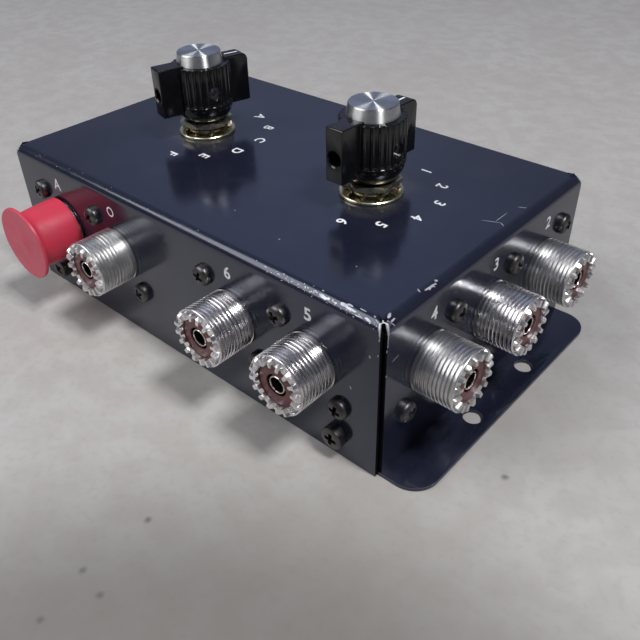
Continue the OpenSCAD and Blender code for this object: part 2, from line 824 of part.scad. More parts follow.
// Flat rings with teeth twisted out of their plane, which bear on the nut and the washer
module lock_washers() {
    tooth_in = lock_ring_d / 2 - lock_ring_t / 2;
    tooth_w = (lock_t - 2 * seat_gap - lock_ring_t * cos(lock_twist)) / sin(lock_twist);
    color([0.6, 0.6, 0.58]) at_both_switches()
        translate([0, 0, cover_h + washer_t + lock_t / 2]) {
            translate([0, 0, -lock_ring_t / 2]) tube(lock_ring_d, bushing_hole_d, lock_ring_t);
            for (k = [0:lock_teeth - 1]) rotate([0, 0, lock_first_deg + k * 360 / lock_teeth])
                translate([tooth_in, 0, 0]) rotate([lock_twist, 0, 0])
                    translate([0, -tooth_w / 2, -lock_ring_t / 2])
                        cube([lock_d / 2 - tooth_in, tooth_w, lock_ring_t]);
        }
}

module flat_washers() {
    color([0.78, 0.74, 0.55]) at_both_switches() translate([0, 0, cover_h])
        tube(washer_d, bushing_hole_d, washer_t);
}

module detent_balls() {
    color([0.8, 0.8, 0.82]) at_both_switches() rotate([0, 0, ball_deg])
        translate([ball_r_pos, 0, (star_low + star_top) / 2]) sphere(d = ball_d);
}

// Leaf hanging from the index plate, pressing the ball into the star wheel
module detent_leaves() {
    leaf_low = star_low - 0.5;
    color([0.7, 0.7, 0.72]) at_both_switches() rotate([0, 0, ball_deg])
        translate([leaf_in, -leaf_w / 2, leaf_low])
            cube([leaf_t, leaf_w, ceiling - index_t - leaf_low]);
}

module spacers() {
    color([0.75, 0.72, 0.6]) at_both_switches() for (x = [-tie_r, tie_r])
        translate([x, 0, wafer_z + wafer_t])
            tube(spacer_d, tie_d + 2 * seat_gap, ceiling - index_t - wafer_z - wafer_t);
}

module tie_screws() {
    color([0.6, 0.6, 0.62]) at_both_switches() for (x = [-tie_r, tie_r])
        translate([x, 0, wafer_z]) rotate([180, 0, 0])
            pan_screw(tie_d, tie_len, tie_d + 2, tie_head_h, tie_head_drop);
}

module wafer(which) {
    color([0.9, 0.88, 0.82]) at_switch(which) translate([0, 0, wafer_z]) difference() {
        tube(wafer_d, wafer_bore_d, wafer_t);
        for (x = [-tie_r, tie_r]) translate([x, 0, -over])
            cylinder(d = tie_d + 2 * seat_gap, h = wafer_t + 2 * over);
    }
}

// Contact clips: one for each position and a longer one that rides on the blade's ring
module clips(which) {
    inner = (rotor_d + blade_d) / 4 - 0.4;
    color([0.8, 0.8, 0.76]) at_switch(which) translate([0, 0, wafer_z + wafer_t]) {
        for (k = [0:positions - 1]) clip(first_deg - k * step_deg, inner);
        clip(common_deg, blade_d / 2 - 1);
    }
}

module clip(deg, inner) {
    rotate([0, 0, deg]) translate([inner, -clip_w / 2, 0])
        cube([clip_reach - inner, clip_w, clip_t]);
}

module rotor(which) {
    color([0.5, 0.33, 0.2]) at_switch(which) translate([0, 0, wafer_z])
        tube(rotor_d, shaft_d + 2 * seat_gap, rotor_t);
}

module rotor_blade(which) {
    color([0.8, 0.66, 0.35]) at_switch(which) translate([0, 0, rotor_top]) difference() {
        union() {
            cylinder(d = blade_d, h = blade_t);
            rotate([0, 0, first_deg]) translate([0, -clip_w / 2, 0])
                cube([rotor_d / 2 - seat_gap, clip_w, blade_t]);
        }
        translate([0, 0, -over]) cylinder(d = shaft_d + 3, h = blade_t + 2 * over);
    }
}

top_cover();
base_plate();
cover_screws();
jack_screws();
jack_nuts();
jack_shell(0);  // jack_1
jack_shell(1);  // jack_2
jack_shell(2);  // jack_3
jack_shell(3);  // jack_4
jack_shell(4);  // jack_5
jack_shell(5);  // jack_6
jack_shell(6);  // jack_antenna_common
jack_shell(7);  // jack_a
jack_shell(8);  // jack_b
jack_shell(9);  // jack_c
jack_shell(10);  // jack_d
jack_shell(11);  // jack_e
jack_shell(12);  // jack_f
jack_shell(13);  // jack_transmitter_common
insulators(ANTENNA);  // antenna_insulators
insulators(TRANSMITTER);  // transmitter_insulators
contacts(ANTENNA);  // antenna_contacts
contacts(TRANSMITTER);  // transmitter_contacts
switch_wires(0);  // antenna_wires
switch_wires(1);  // transmitter_wires
spare_jack_cap();
knob(0, antenna_knob_deg);  // antenna_knob
knob_disc(0, antenna_knob_deg);  // antenna_knob_disc
knob_insert(0, antenna_knob_deg);  // antenna_knob_insert
set_screws(0, antenna_knob_deg);  // antenna_set_screws
shaft(0);  // antenna_shaft
shaft_clip(0);  // antenna_shaft_clip
star_wheel(0);  // antenna_star_wheel
rotor(0);  // antenna_rotor
rotor_blade(0);  // antenna_rotor_blade
knob(1, transmitter_knob_deg);  // transmitter_knob
knob_disc(1, transmitter_knob_deg);  // transmitter_knob_disc
knob_insert(1, transmitter_knob_deg);  // transmitter_knob_insert
set_screws(1, transmitter_knob_deg);  // transmitter_set_screws
shaft(1);  // transmitter_shaft
shaft_clip(1);  // transmitter_shaft_clip
star_wheel(1);  // transmitter_star_wheel
rotor(1);  // transmitter_rotor
rotor_blade(1);  // transmitter_rotor_blade
bushing(0);  // antenna_bushing
wafer(0);  // antenna_wafer
clips(0);  // antenna_clips
bushing(1);  // transmitter_bushing
wafer(1);  // transmitter_wafer
clips(1);  // transmitter_clips
bushing_nuts();
lock_washers();
flat_washers();
detent_balls();
detent_leaves();
spacers();
tie_screws();
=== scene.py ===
"""Looks of a coaxial antenna switch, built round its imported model.

Everything is in metres in the model's own frame; sizes are written in millimetres
times MM. X runs along the box, Y across it, Z up.
"""
import json
import math
import random

import bmesh
import bpy
from mathutils import Matrix, Vector


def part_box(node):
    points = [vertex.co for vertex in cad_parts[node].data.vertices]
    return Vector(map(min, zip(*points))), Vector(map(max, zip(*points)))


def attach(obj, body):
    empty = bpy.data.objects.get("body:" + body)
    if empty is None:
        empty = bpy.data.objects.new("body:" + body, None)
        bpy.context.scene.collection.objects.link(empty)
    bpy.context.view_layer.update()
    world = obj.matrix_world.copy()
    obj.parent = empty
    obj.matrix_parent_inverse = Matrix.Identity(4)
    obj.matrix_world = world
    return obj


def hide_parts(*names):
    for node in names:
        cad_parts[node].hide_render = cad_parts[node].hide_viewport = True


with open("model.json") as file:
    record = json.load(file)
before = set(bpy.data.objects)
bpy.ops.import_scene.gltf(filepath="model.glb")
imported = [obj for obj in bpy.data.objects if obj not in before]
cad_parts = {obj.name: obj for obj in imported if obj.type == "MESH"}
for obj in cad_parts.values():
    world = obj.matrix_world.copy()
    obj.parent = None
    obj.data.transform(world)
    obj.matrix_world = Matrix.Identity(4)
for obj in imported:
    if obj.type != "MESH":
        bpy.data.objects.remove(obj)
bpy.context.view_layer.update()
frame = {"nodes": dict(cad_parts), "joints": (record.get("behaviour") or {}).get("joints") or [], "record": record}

MM = 0.001
TAU = 2 * math.pi
UP = Vector((0, 0, 1))
random.seed(14)

# ---- places and sizes that the model gives ----
COVER_LOW, COVER_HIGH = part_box("top_cover")
BASE_LOW, BASE_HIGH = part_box("base_plate")
HALF_LEN = COVER_HIGH.x
HALF_DEP = COVER_HIGH.y
TOP_Z = COVER_HIGH.z
JACK_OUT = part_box("jack_3")[1].x - HALF_LEN
MOUNTS = {mount["name"]: mount for mount in frame["record"]["mounts"]}
HINGES = {joint["name"]: joint for joint in frame["joints"]}
ANTENNA_AXIS = Vector(HINGES["antenna_turn"]["pos_m"])
TRANSMITTER_AXIS = Vector(HINGES["transmitter_turn"]["pos_m"])
ANTENNA_JACKS = ["1", "2", "3", "4", "5", "6", "antenna_common"]
TRANSMITTER_JACKS = ["a", "b", "c", "d", "e", "f", "transmitter_common"]
ALL_JACKS = ANTENNA_JACKS + TRANSMITTER_JACKS

# ---- sizes of the box ----
SHEET = 0.9 * MM
FOLD_R = 2.8 * MM
SEAM_GAP = 1.1 * MM
SEAM_TOP_DEG = 36
FOLD_LEVELS = [0, 8, 16, 24, 31, 36, 37, 38.5, 41, 45, 50, 56, 63, 70, 77, 84, 90]
WEAR_REACH = 1.9 * MM
WEAR_FOOT = TOP_Z - 3.8 * MM
FOLD_WEAR = 0.3
FRONT_WEAR = 0.34
NEAR_CORNER_WEAR = 0.12
SEAM_WEAR_TOP_DEG = 29
SEAM_WEAR_DROP = 3.4 * MM
SEAM_WEAR_WIDTH = 0.3 * MM
LONG_FLAP_LIFT = 0.2 * MM
SHORT_FLAP_LIFT = 0.05 * MM
BASE_T = 1 * MM
FLANGE_R = 7 * MM
LIP_H = BASE_HIGH.z
LIP_HALF_LEN = 64 * MM
PANEL_HOLE_R = 8.08 * MM
SHAFT_HOLE_R = 4.9 * MM
SCREW_SPACING = 18.2 * MM
SCREW_HOLE_R = 1.6 * MM
COVER_SCREW_X = 57.7 * MM
COVER_SCREW_Z = 6.8 * MM

# ---- sizes of a jack ----
THREAD_R = 7.94 * MM
THREAD_DEPTH = 0.55 * MM
THREAD_PITCH = 1.058 * MM
THREAD_END = JACK_OUT - 1.25 * MM
RIM_FOOT_R = 7.72 * MM
RIM_R = 7.4 * MM
RIM_BASE = JACK_OUT - 1.15 * MM
RIM_EDGE = 0.04 * MM
BORE_R = 5.5 * MM
TEETH = 16
TOOTH_SHAPE = [0, 0.9, 1, 1, 1, 0.9, 0, 0, 0, 0]
FLANGE_HALF = 12.7 * MM
FLANGE_BACK = 2.5 * MM
BOSS_BACK = 4.7 * MM
BOSS_R = 6.1 * MM
INSULATOR_FRONT = JACK_OUT - 1.3 * MM
INSULATOR_BACK = 7 * MM
CONTACT_R = 2.45 * MM
SOCKET_R = 2 * MM
SOCKET_BOTTOM = 2.1 * MM
CONTACT_FRONT = JACK_OUT - 1.5 * MM
TAIL_R = 1.6 * MM
TAIL_REACH = 11.5 * MM

# ---- sizes of the knobs ----
ANTENNA_KNOB_DEG = 88
TRANSMITTER_KNOB_DEG = 75
KNOB_R = 8.7 * MM
KNOB_LOW = 4.8 * MM
KNOB_TOP = 20.9 * MM
FOOT_R = 6.7 * MM
FLUTES = 28
FLUTE_SAMPLES = 12
FLUTE_LOW = 9.7 * MM
FLUTE_DEPTH = 0.42 * MM
WING_REACH = 14.3 * MM
WING_HALF_T = 2.7 * MM
WING_LOW = 7.6 * MM
WING_TOP = 21.6 * MM
DISC_R = 6.8 * MM
DISC_TOP = 24.3 * MM
SET_SCREW_Z = 13.8 * MM
SET_SCREW_HOLE_R = 1.95 * MM
INSERT_R = 5.05 * MM
INSERT_TOP = 18.45 * MM
BORE_LOW = 7.6 * MM
RECESS_R = 5.5 * MM

# ---- nuts and washers ----
NUT_BORE_R = 4.85 * MM
WASHER_BORE_R = 4.9 * MM
NUT_TURNS = (36, -1)
NUT_HALF_FLAT = 7.1 * MM
NUT_LOW = 2.8 * MM
NUT_H = 1.7 * MM
WASHER_R = 8.55 * MM
WASHER_T = 0.9 * MM
LOCK_RING_R = 6.2 * MM
LOCK_T = 0.7 * MM
LOCK_TIP_R = 7.6 * MM
LOCK_MIDDLE = 1.85 * MM
LOCK_TEETH = 10
LOCK_TWIST = 50

# ---- cap ----
CAP_BORE_R = THREAD_R + 0.1 * MM
CAP_SKIRT_R = CAP_BORE_R + 0.9 * MM
CAP_WAIST_R = 8.55 * MM
CAP_DISC_R = 11 * MM
CAP_MOUTH = 0.6 * MM
CAP_INNER = JACK_OUT + 0.3 * MM
CAP_FRONT = CAP_INNER + 2.2 * MM

# ---- printed marks ----
INK_T = 0.02 * MM
DIAL_R = 18.6 * MM
DIAL_MARK_H = 3.2 * MM
DIAL_FIRST_DEG = 75
DIAL_STEP_DEG = 30
JACK_MARK_H = 3.5 * MM
JACK_MARK_UP = 13.4 * MM

# ---- the photo's viewpoint ----
CAMERA_AT = (0.13844, -0.13796, 0.13485)
CAMERA_TURN_DEG = (52.8181, 1.1238, 41.4642)
CAMERA_LENS = 41.3066

# ---- the floor's painted shadow and dark specks ----
PAINTED_SHADOW = Vector((107, -155, 0)) * MM
PAINTED_SHADOW_R = 108 * MM
FLOOR_MARKS = [Vector((x, y, 0)) * MM for x, y in (
    (92.7, -24.3), (38.2, -104.2), (45.9, -105.3), (41.4, -116.4), (38.3, -87.1))]
FLOOR_MARK_R = 1.5 * MM

# ======================= materials =======================

MATERIALS = {}


def add_node(tree, kind, output, inputs, **settings):
    """Adds a node, sets or joins its inputs, and gives one of its outputs."""
    node = tree.nodes.new(kind)
    for key, value in settings.items():
        setattr(node, key, value)
    for key, value in inputs.items():
        put(tree, value, node.inputs[key])
    return node.outputs[output]


def put(tree, value, socket):
    """Joins an output to the socket, or sets the socket to a plain value."""
    if isinstance(value, bpy.types.NodeSocket):
        tree.links.new(value, socket)
    else:
        socket.default_value = value


class Graph:
    """A material's node tree, with short calls for adding and joining nodes."""

    def __init__(self, name):
        material = bpy.data.materials.new(name)
        MATERIALS[name] = material
        material.use_nodes = True
        self.tree = material.node_tree
        self.tree.nodes.clear()
        self.shader = self.tree.nodes.new("ShaderNodeBsdfPrincipled")
        output = self.tree.nodes.new("ShaderNodeOutputMaterial")
        self.tree.links.new(self.shader.outputs["BSDF"], output.inputs["Surface"])
        self.place = self.node("ShaderNodeTexCoord", "Object", {})

    def node(self, kind, output, inputs, **settings):
        return add_node(self.tree, kind, output, inputs, **settings)

    def stretched(self, x, y, z):
        """Object coordinates scaled by x, y and z."""
        return self.node("ShaderNodeMapping", 0, {"Vector": self.place, "Scale": (x, y, z)})

    def noise(self, size, detail=3, place=None):
        """Noise whose blotches are about size metres across."""
        return self.node("ShaderNodeTexNoise", "Fac", {
            "Vector": place or self.place, "Scale": 1 / size, "Detail": detail})

    def calc(self, operation, a, b):
        return self.node("ShaderNodeMath", 0, {0: a, 1: b}, operation=operation)

    def rise(self, value, low, high, to_low=0.0, to_high=1.0):
        """Smooth step of value from low to high."""
        return self.node("ShaderNodeMapRange", "Result", {
            "Value": value, "From Min": low, "From Max": high, "To Min": to_low,
            "To Max": to_high}, interpolation_type="SMOOTHSTEP")

    def blend(self, share, a, b):
        """Colour a where share is 0, b where it is 1."""
        return self.node("ShaderNodeMix", 2, {0: share, 6: a, 7: b}, data_type="RGBA")

    def attribute(self, name):
        return self.node("ShaderNodeAttribute", "Fac", {}, attribute_name=name)

    def distance_to(self, point):
        return self.node("ShaderNodeVectorMath", "Value", {0: self.place, 1: point},
                         operation="DISTANCE")

    def bump(self, height, depth, strength=0.3):
        self.set(Normal=self.node("ShaderNodeBump", "Normal", {
            "Height": height, "Distance": depth, "Strength": strength}))

    def set(self, **values):
        """Sets or joins the shader's sockets; Base_Color stands for Base Color."""
        for key, value in values.items():
            put(self.tree, value, self.shader.inputs[key.replace("_", " ")])


def rgb(red, green, blue):
    return (red, green, blue, 1.0)


PAINT = rgb(0.011, 0.013, 0.027)
PAINT_SMUDGE = rgb(0.015, 0.017, 0.031)
# bluish tint of the paint's reflections, standing in for bluish light in the room
BLUE_LIGHT_TINT = rgb(0.8, 0.86, 1.0)
SCUFFED = rgb(0.09, 0.09, 0.105)
BARE_STEEL = rgb(0.42, 0.43, 0.47)
# brownish colour of the painted reflection of the yellow washers in the paint
WASHER_REFLECTION = rgb(0.16, 0.14, 0.11)
# the sheet's cut edges take a near-black second material: painted shade for edges that sit in shadow
COVER_MATERIALS = ["black_paint", "shaded_cut_edge"]


def paint_material():
    """Black paint: scuffed where the wear attribute is middling, bare steel where it is high, with a painted
    brownish reflection of the washers round each shaft.
    """
    g = Graph("black_paint")
    fine = g.noise(0.5 * MM, 3)
    broad = g.noise(14 * MM, 4)
    ragged = g.noise(1.6 * MM, 6)
    worn = g.calc("ADD", g.attribute("wear"), g.calc("MULTIPLY", ragged, 0.9))
    bare = g.rise(worn, 1.02, 1.2)
    rubbed = g.calc("ADD", g.attribute("wear"), g.calc("MULTIPLY", ragged, 0.35))
    scuff = g.rise(rubbed, 0.57, 0.66)
    # painted reflection: mottled brownish rings round the two shafts stand in for the yellow washers mirrored in
    # the paint
    painted_reflection_a = g.rise(g.distance_to(ANTENNA_AXIS), 15 * MM, 8 * MM)
    painted_reflection_b = g.rise(g.distance_to(TRANSMITTER_AXIS), 15 * MM, 8 * MM)
    painted_reflection = g.calc("MULTIPLY", g.calc("MAXIMUM", painted_reflection_a, painted_reflection_b), g.rise(broad, 0.35, 0.7))
    colour = g.blend(g.rise(broad, 0.45, 0.8), PAINT, PAINT_SMUDGE)
    speck = g.rise(fine, 0.62, 0.72)
    colour = g.blend(g.calc("MULTIPLY", speck, 0.2), colour, rgb(0.06, 0.065, 0.09))
    colour = g.blend(g.calc("MULTIPLY", painted_reflection, 0.35), colour, WASHER_REFLECTION)
    colour = g.blend(g.calc("MULTIPLY", scuff, 0.6), colour, SCUFFED)
    colour = g.blend(bare, colour, BARE_STEEL)
    rough = g.rise(g.noise(5 * MM, 5), 0.3, 0.75, 0.13, 0.21)
    rough = g.calc("ADD", rough, g.calc("MULTIPLY", scuff, 0.35))
    peel = g.calc("MULTIPLY", g.noise(1.6 * MM, 2), 0.15)
    g.bump(g.calc("SUBTRACT", peel, bare), 0.012 * MM)
    g.set(Base_Color=colour, Metallic=bare, Roughness=rough, IOR=1.7,
          Specular_Tint=BLUE_LIGHT_TINT)


def metal_material(name, colour, dull, rough_low, rough_high, size, depth, metallic=1.0):
    """Plated or turned metal with soft tarnish and fine handling marks."""
    g = Graph(name)
    stain = g.rise(g.noise(size, 6), 0.42, 0.72)
    g.bump(g.noise(0.5 * MM, 4, g.stretched(1, 1, 0.3)), depth)
    rough = g.rise(g.noise(1.3 * size, 4), 0.3, 0.7, rough_low, rough_high)
    g.set(Base_Color=g.blend(stain, colour, dull), Metallic=metallic, Roughness=rough)


def yellow_zinc_material():
    """Yellow passivated zinc, with its green and pink tints."""
    g = Graph("yellow_zinc")
    tint = g.noise(2.5 * MM, 3)
    colour = g.blend(g.rise(tint, 0.35, 0.5), rgb(0.62, 0.66, 0.5), rgb(0.72, 0.67, 0.46))
    colour = g.blend(g.rise(tint, 0.55, 0.7), colour, rgb(0.68, 0.5, 0.42))
    g.bump(g.noise(0.6 * MM, 3), 0.003 * MM)
    rough = g.rise(g.noise(2 * MM, 4), 0.3, 0.7, 0.22, 0.34)
    g.set(Base_Color=colour, Metallic=1.0, Roughness=rough)


def plastic_material(name, colour, other, rough_low, rough_high, size, depth, ior):
    """Moulded plastic with faint mottling and a fine moulded skin."""
    g = Graph(name)
    mottle = g.rise(g.noise(size, 5), 0.4, 0.7)
    g.bump(g.noise(0.35 * MM, 3), depth, 0.35)
    rough = g.rise(g.noise(1.7 * size, 4), 0.3, 0.7, rough_low, rough_high)
    g.set(Base_Color=g.blend(mottle, colour, other), Roughness=rough, IOR=ior)


def vinyl_material():
    """Soft red vinyl, mottled in tone and roughness, and paler on its front face."""
    g = Graph("red_vinyl")
    mottle = g.rise(g.noise(5 * MM, 5), 0.4, 0.75)
    colour = g.blend(mottle, rgb(0.68, 0.042, 0.085), rgb(0.58, 0.05, 0.085))
    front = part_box("spare_jack_cap")[0].y
    along = g.node("ShaderNodeSeparateXYZ", "Y", {0: g.place})
    face = g.rise(along, front + 0.35 * MM, front + 0.02 * MM)
    colour = g.blend(g.calc("MULTIPLY", face, 0.75), colour, rgb(0.62, 0.1, 0.15))
    g.bump(g.noise(0.8 * MM, 4), 0.02 * MM)
    g.set(Base_Color=colour, Roughness=g.rise(mottle, 0, 1, 0.42, 0.52))


def spun_material():
    """Spun aluminium: fine rings round the upright axis, and a bow-tie highlight."""
    g = Graph("spun_aluminium")
    tangent = g.node("ShaderNodeTangent", "Tangent", {}, direction_type="RADIAL", axis="Z")
    colour = g.blend(g.rise(g.noise(3 * MM, 3), 0.4, 0.7), rgb(0.76, 0.77, 0.75),
                     rgb(0.68, 0.69, 0.68))
    g.set(Base_Color=colour, Metallic=1.0, Roughness=0.33, Anisotropic=1.0,
          Anisotropic_Rotation=0.25, Tangent=tangent)


def ink_material():
    """White printed ink, a little patchy."""
    g = Graph("white_ink")
    patchy = g.rise(g.noise(0.5 * MM, 4), 0.3, 0.45)
    g.set(Base_Color=g.blend(patchy, rgb(0.6, 0.61, 0.65), rgb(0.88, 0.89, 0.92)),
          Roughness=g.rise(patchy, 0, 1, 0.4, 0.5))


def make_materials():
    """One material for each slot of the model, and more for the scene's own pieces."""
    paint_material()
    for name, colour, dull, rough_low, rough_high, size, depth, metallic in (
            ("black_screw", (0.1, 0.097, 0.1), (0.16, 0.15, 0.145), 0.32, 0.46, 1.5, 0.01, 1),
            ("zinc_plate", (0.62, 0.62, 0.6), (0.5, 0.49, 0.46), 0.25, 0.4, 3, 0.01, 1),
            # darker zinc, painted shade for the toothed washers under the nuts
            ("shaded_zinc", (0.32, 0.28, 0.2), (0.2, 0.17, 0.12), 0.3, 0.45, 3, 0.01, 1),
            ("nickel_plate", (0.8, 0.785, 0.8), (0.68, 0.66, 0.665), 0.2, 0.3, 2.4, 0.001, 1),
            ("dull_nickel", (0.72, 0.715, 0.72), (0.58, 0.575, 0.57), 0.28, 0.4, 2.4, 0.001, 1),
            ("silver_plate", (0.86, 0.82, 0.78), (0.74, 0.68, 0.62), 0.24, 0.36, 2, 0.004, 1),
            ("tinned_copper", (0.7, 0.6, 0.52), (0.6, 0.45, 0.34), 0.25, 0.4, 3, 0.01, 1),
            ("steel", (0.5, 0.5, 0.51), (0.36, 0.36, 0.37), 0.22, 0.38, 3, 0.01, 1),
            ("brass", (0.62, 0.45, 0.2), (0.45, 0.31, 0.14), 0.25, 0.42, 3, 0.01, 1),
            ("chipped_edge", (0.6, 0.61, 0.66), (0.4, 0.41, 0.46), 0.4, 0.6, 1, 0.01, 0.45)):
        metal_material(name, rgb(*colour), rgb(*dull), rough_low, rough_high,
                       size * MM, depth * MM, metallic)
    for name, colour, other, rough_low, rough_high, size, depth, ior in (
            # near black, painted shade on the cover's cut edges
            ("shaded_cut_edge", (0.003, 0.003, 0.005), (0.005, 0.005, 0.008), 0.6, 0.8, 4, 0.01, 1.15),
            # near black, painted shade deep in each socket and in its slots
            ("painted_bore_shade", (0.006, 0.005, 0.005), (0.003, 0.003, 0.003), 0.6, 0.8, 2, 0.01, 1.15),
            # near black, painted shade in the gap round each contact
            ("painted_gap_shade", (0.012, 0.005, 0.005), (0.007, 0.004, 0.004), 0.5, 0.7, 4, 0.01, 1.15),
            ("phenolic", (0.16, 0.05, 0.05), (0.115, 0.036, 0.038), 0.35, 0.5, 1.5, 0.01, 1.5),
            ("ceramic", (0.78, 0.74, 0.66), (0.7, 0.66, 0.58), 0.3, 0.45, 4, 0.01, 1.5),
            ("black_plastic", (0.005, 0.005, 0.006), (0.009, 0.0085, 0.0085), 0.13, 0.22,
             3, 0.003, 1.5)):
        plastic_material(name, rgb(*colour), rgb(*other), rough_low, rough_high,
                         size * MM, depth * MM, ior)
    yellow_zinc_material()
    vinyl_material()
    spun_material()
    ink_material()


def dress_model_nodes():
    """Gives each node of the model the material of its slot."""
    slots = {part["node"]: part["material_slot"] for part in frame["record"]["subparts"]}
    for name, node in frame["nodes"].items():
        node.data.materials.clear()
        node.data.materials.append(MATERIALS[slots[name]])


# ======================= mesh tools =======================

def bridge(bm, a, b, material=0):
    """Band of faces between two rings with as many points each."""
    for k in range(len(a)):
        n = (k + 1) % len(a)
        bm.faces.new((a[k], a[n], b[n], b[k])).material_index = material


def skin(bm, rings, closed=False, second=()):
    """Joins rings of points into a tube; returns its rings.

    The bands whose numbers are in second take the piece's second material.
    """
    made = [[bm.verts.new(point) for point in ring] for ring in rings]
    pairs = list(zip(made, made[1:]))
    if closed:
        pairs.append((made[-1], made[0]))
    for band, (a, b) in enumerate(pairs):
        bridge(bm, a, b, 1 if band in second else 0)
    return made


def close_ring(bm, ring):
    """Closes the end of a tube with a fan round the ring's middle."""
    middle = bm.verts.new(sum((v.co for v in ring), Vector()) / len(ring))
    for k, vert in enumerate(ring):
        bm.faces.new((middle, vert, ring[(k + 1) % len(ring)]))


def circle_points(radius, z, count):
    """Points round Z; radius and z may be functions of the point's number."""
    points = []
    for k in range(count):
        r = radius(k) if callable(radius) else radius
        height = z(k) if callable(z) else z
        points.append((r * math.cos(TAU * k / count), r * math.sin(TAU * k / count), height))
    return points


def turned_mesh(name, profile, count=64, closed=False, second=()):
    """Turns (radius, z) points round Z. An open profile starts and ends on the axis."""
    bm = bmesh.new()
    lathe(bm, profile, count, closed, second)
    return to_mesh(bm, name)


def lathe(bm, profile, count, closed=False, second=()):
    made = skin(bm, [circle_points(r, z, count) for r, z in profile], closed, second)
    if not closed:
        close_ring(bm, made[0])
        close_ring(bm, made[-1])


def extrude_outline(bm, outline, low, high):
    """Solid between y = low and y = high over an outline of (x, z) points."""
    near, far = skin(bm, [[(x, y, z) for x, z in outline] for y in (low, high)])
    bm.faces.new(near)
    bm.faces.new(list(reversed(far)))


def to_mesh(bm, name):
    """Finished mesh of bm, with its faces turned outwards."""
    bmesh.ops.recalc_face_normals(bm, faces=bm.faces)
    mesh = bpy.data.meshes.new(name)
    bm.to_mesh(mesh)
    bm.free()
    return mesh


def stamp(bm, mesh, matrix):
    """Adds a copy of a mesh to bm, moved by the matrix."""
    start = len(bm.verts)
    bm.from_mesh(mesh)
    bm.verts.ensure_lookup_table()
    bmesh.ops.transform(bm, matrix=matrix, verts=bm.verts[start:])


def placed(name, data):
    """New object in the scene."""
    thing = bpy.data.objects.new(name, data)
    bpy.context.scene.collection.objects.link(thing)
    return thing


def applied(thing):
    """Mesh of an object with its modifiers applied; the object is removed."""
    graph = bpy.context.evaluated_depsgraph_get()
    mesh = bpy.data.meshes.new_from_object(thing.evaluated_get(graph))
    bpy.data.objects.remove(thing)
    return mesh


def carve(mesh, cutters, operation="DIFFERENCE"):
    """Cuts each cutter mesh from mesh, or joins each to it."""
    thing = placed("temporary", mesh)
    helpers = [placed("temporary", cutter) for cutter in cutters]
    for helper in helpers:
        modifier = thing.modifiers.new("carve", "BOOLEAN")
        modifier.operation = operation
        modifier.solver = "EXACT"
        modifier.object = helper
    result = applied(thing)
    for helper in helpers:
        bpy.data.objects.remove(helper)
    return result


def bevelled(mesh, width, segments, angle):
    thing = placed("temporary", mesh)
    modifier = thing.modifiers.new("bevel", "BEVEL")
    modifier.width = width
    modifier.segments = segments
    modifier.limit_method = "ANGLE"
    modifier.angle_limit = math.radians(angle)
    return applied(thing)


def piece(name, mesh, body, slot, replaced=(), materials=(), sharp=32):
    """Puts a finished mesh in the scene as a named piece that rides on a body.

    Its materials are the named ones, or else the one of its slot.
    """
    mesh.name = name
    numbers = [face.material_index for face in mesh.polygons]
    mesh.materials.clear()
    for material in materials or [slot]:
        mesh.materials.append(MATERIALS[material])
    mesh.polygons.foreach_set("material_index", numbers)
    mesh.shade_smooth()
    mesh.set_sharp_from_angle(angle=math.radians(sharp))
    thing = placed(name, mesh)
    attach(thing, body)
    if replaced:
        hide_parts(*replaced)


# ======================= box =======================

def panel_matrix(out, place):
    """Frame on a side of the box: its local Z points out and its local Y up."""
    matrix = Matrix((UP.cross(out), UP, out)).transposed().to_4x4()
    matrix.translation = place
    return matrix


def jack_matrix(label):
    """Frame of a jack; its origin is on the panel."""
    mount = MOUNTS["socket_" + label]
    out = Vector(mount["axis"])
    place = Vector(mount["pos_m"])
    reach = HALF_LEN if abs(out.x) > 0.5 else HALF_DEP
    return panel_matrix(out, place + out * (reach - place.dot(out)))


def jack_screw_places(label):
    """The two screws of a jack, on a diagonal of its flange, in the jack's own frame."""
    lean = -1 if abs(MOUNTS["socket_" + label]["axis"][1]) > 0.5 else 1
    half = SCREW_SPACING / 2
    return [Vector((lean * side * half, side * half, 0)) for side in (1, -1)]


def cover_screw_matrices():
    return [panel_matrix(Vector((0, side, 0)), Vector((x, side * HALF_DEP, COVER_SCREW_Z)))
            for x in (-COVER_SCREW_X, COVER_SCREW_X) for side in (-1, 1)]


def hole(matrix, radius, count=48):
    return [matrix @ Vector(point) for point in circle_points(radius, 0, count)]


def fill_panel(bm, outline, holes, normal):
    """Flat panel: outline is a loop of verts, holes are loops of points. Returns all loops."""
    loops = [outline] + [[bm.verts.new(p) for p in hole] for hole in holes]
    edges = []
    for loop in loops:
        for k, vert in enumerate(loop):
            other = loop[(k + 1) % len(loop)]
            edges.append(bm.edges.get((vert, other)) or bm.edges.new((vert, other)))
    bmesh.ops.triangle_fill(bm, edges=edges, use_beauty=True, normal=normal)
    return loops


def quarter_turns(turns):
    return Matrix.Rotation(math.pi / 2 * turns, 3, "Z")


def seam_opening(degrees):
    """How far a flap stops short of the corner at this angle; the slot's top is blunt."""
    if degrees <= SEAM_TOP_DEG:
        return 0.0
    share = (90 - degrees) / (90 - SEAM_TOP_DEG)
    return SEAM_GAP * (1 - share ** 4) ** 0.25


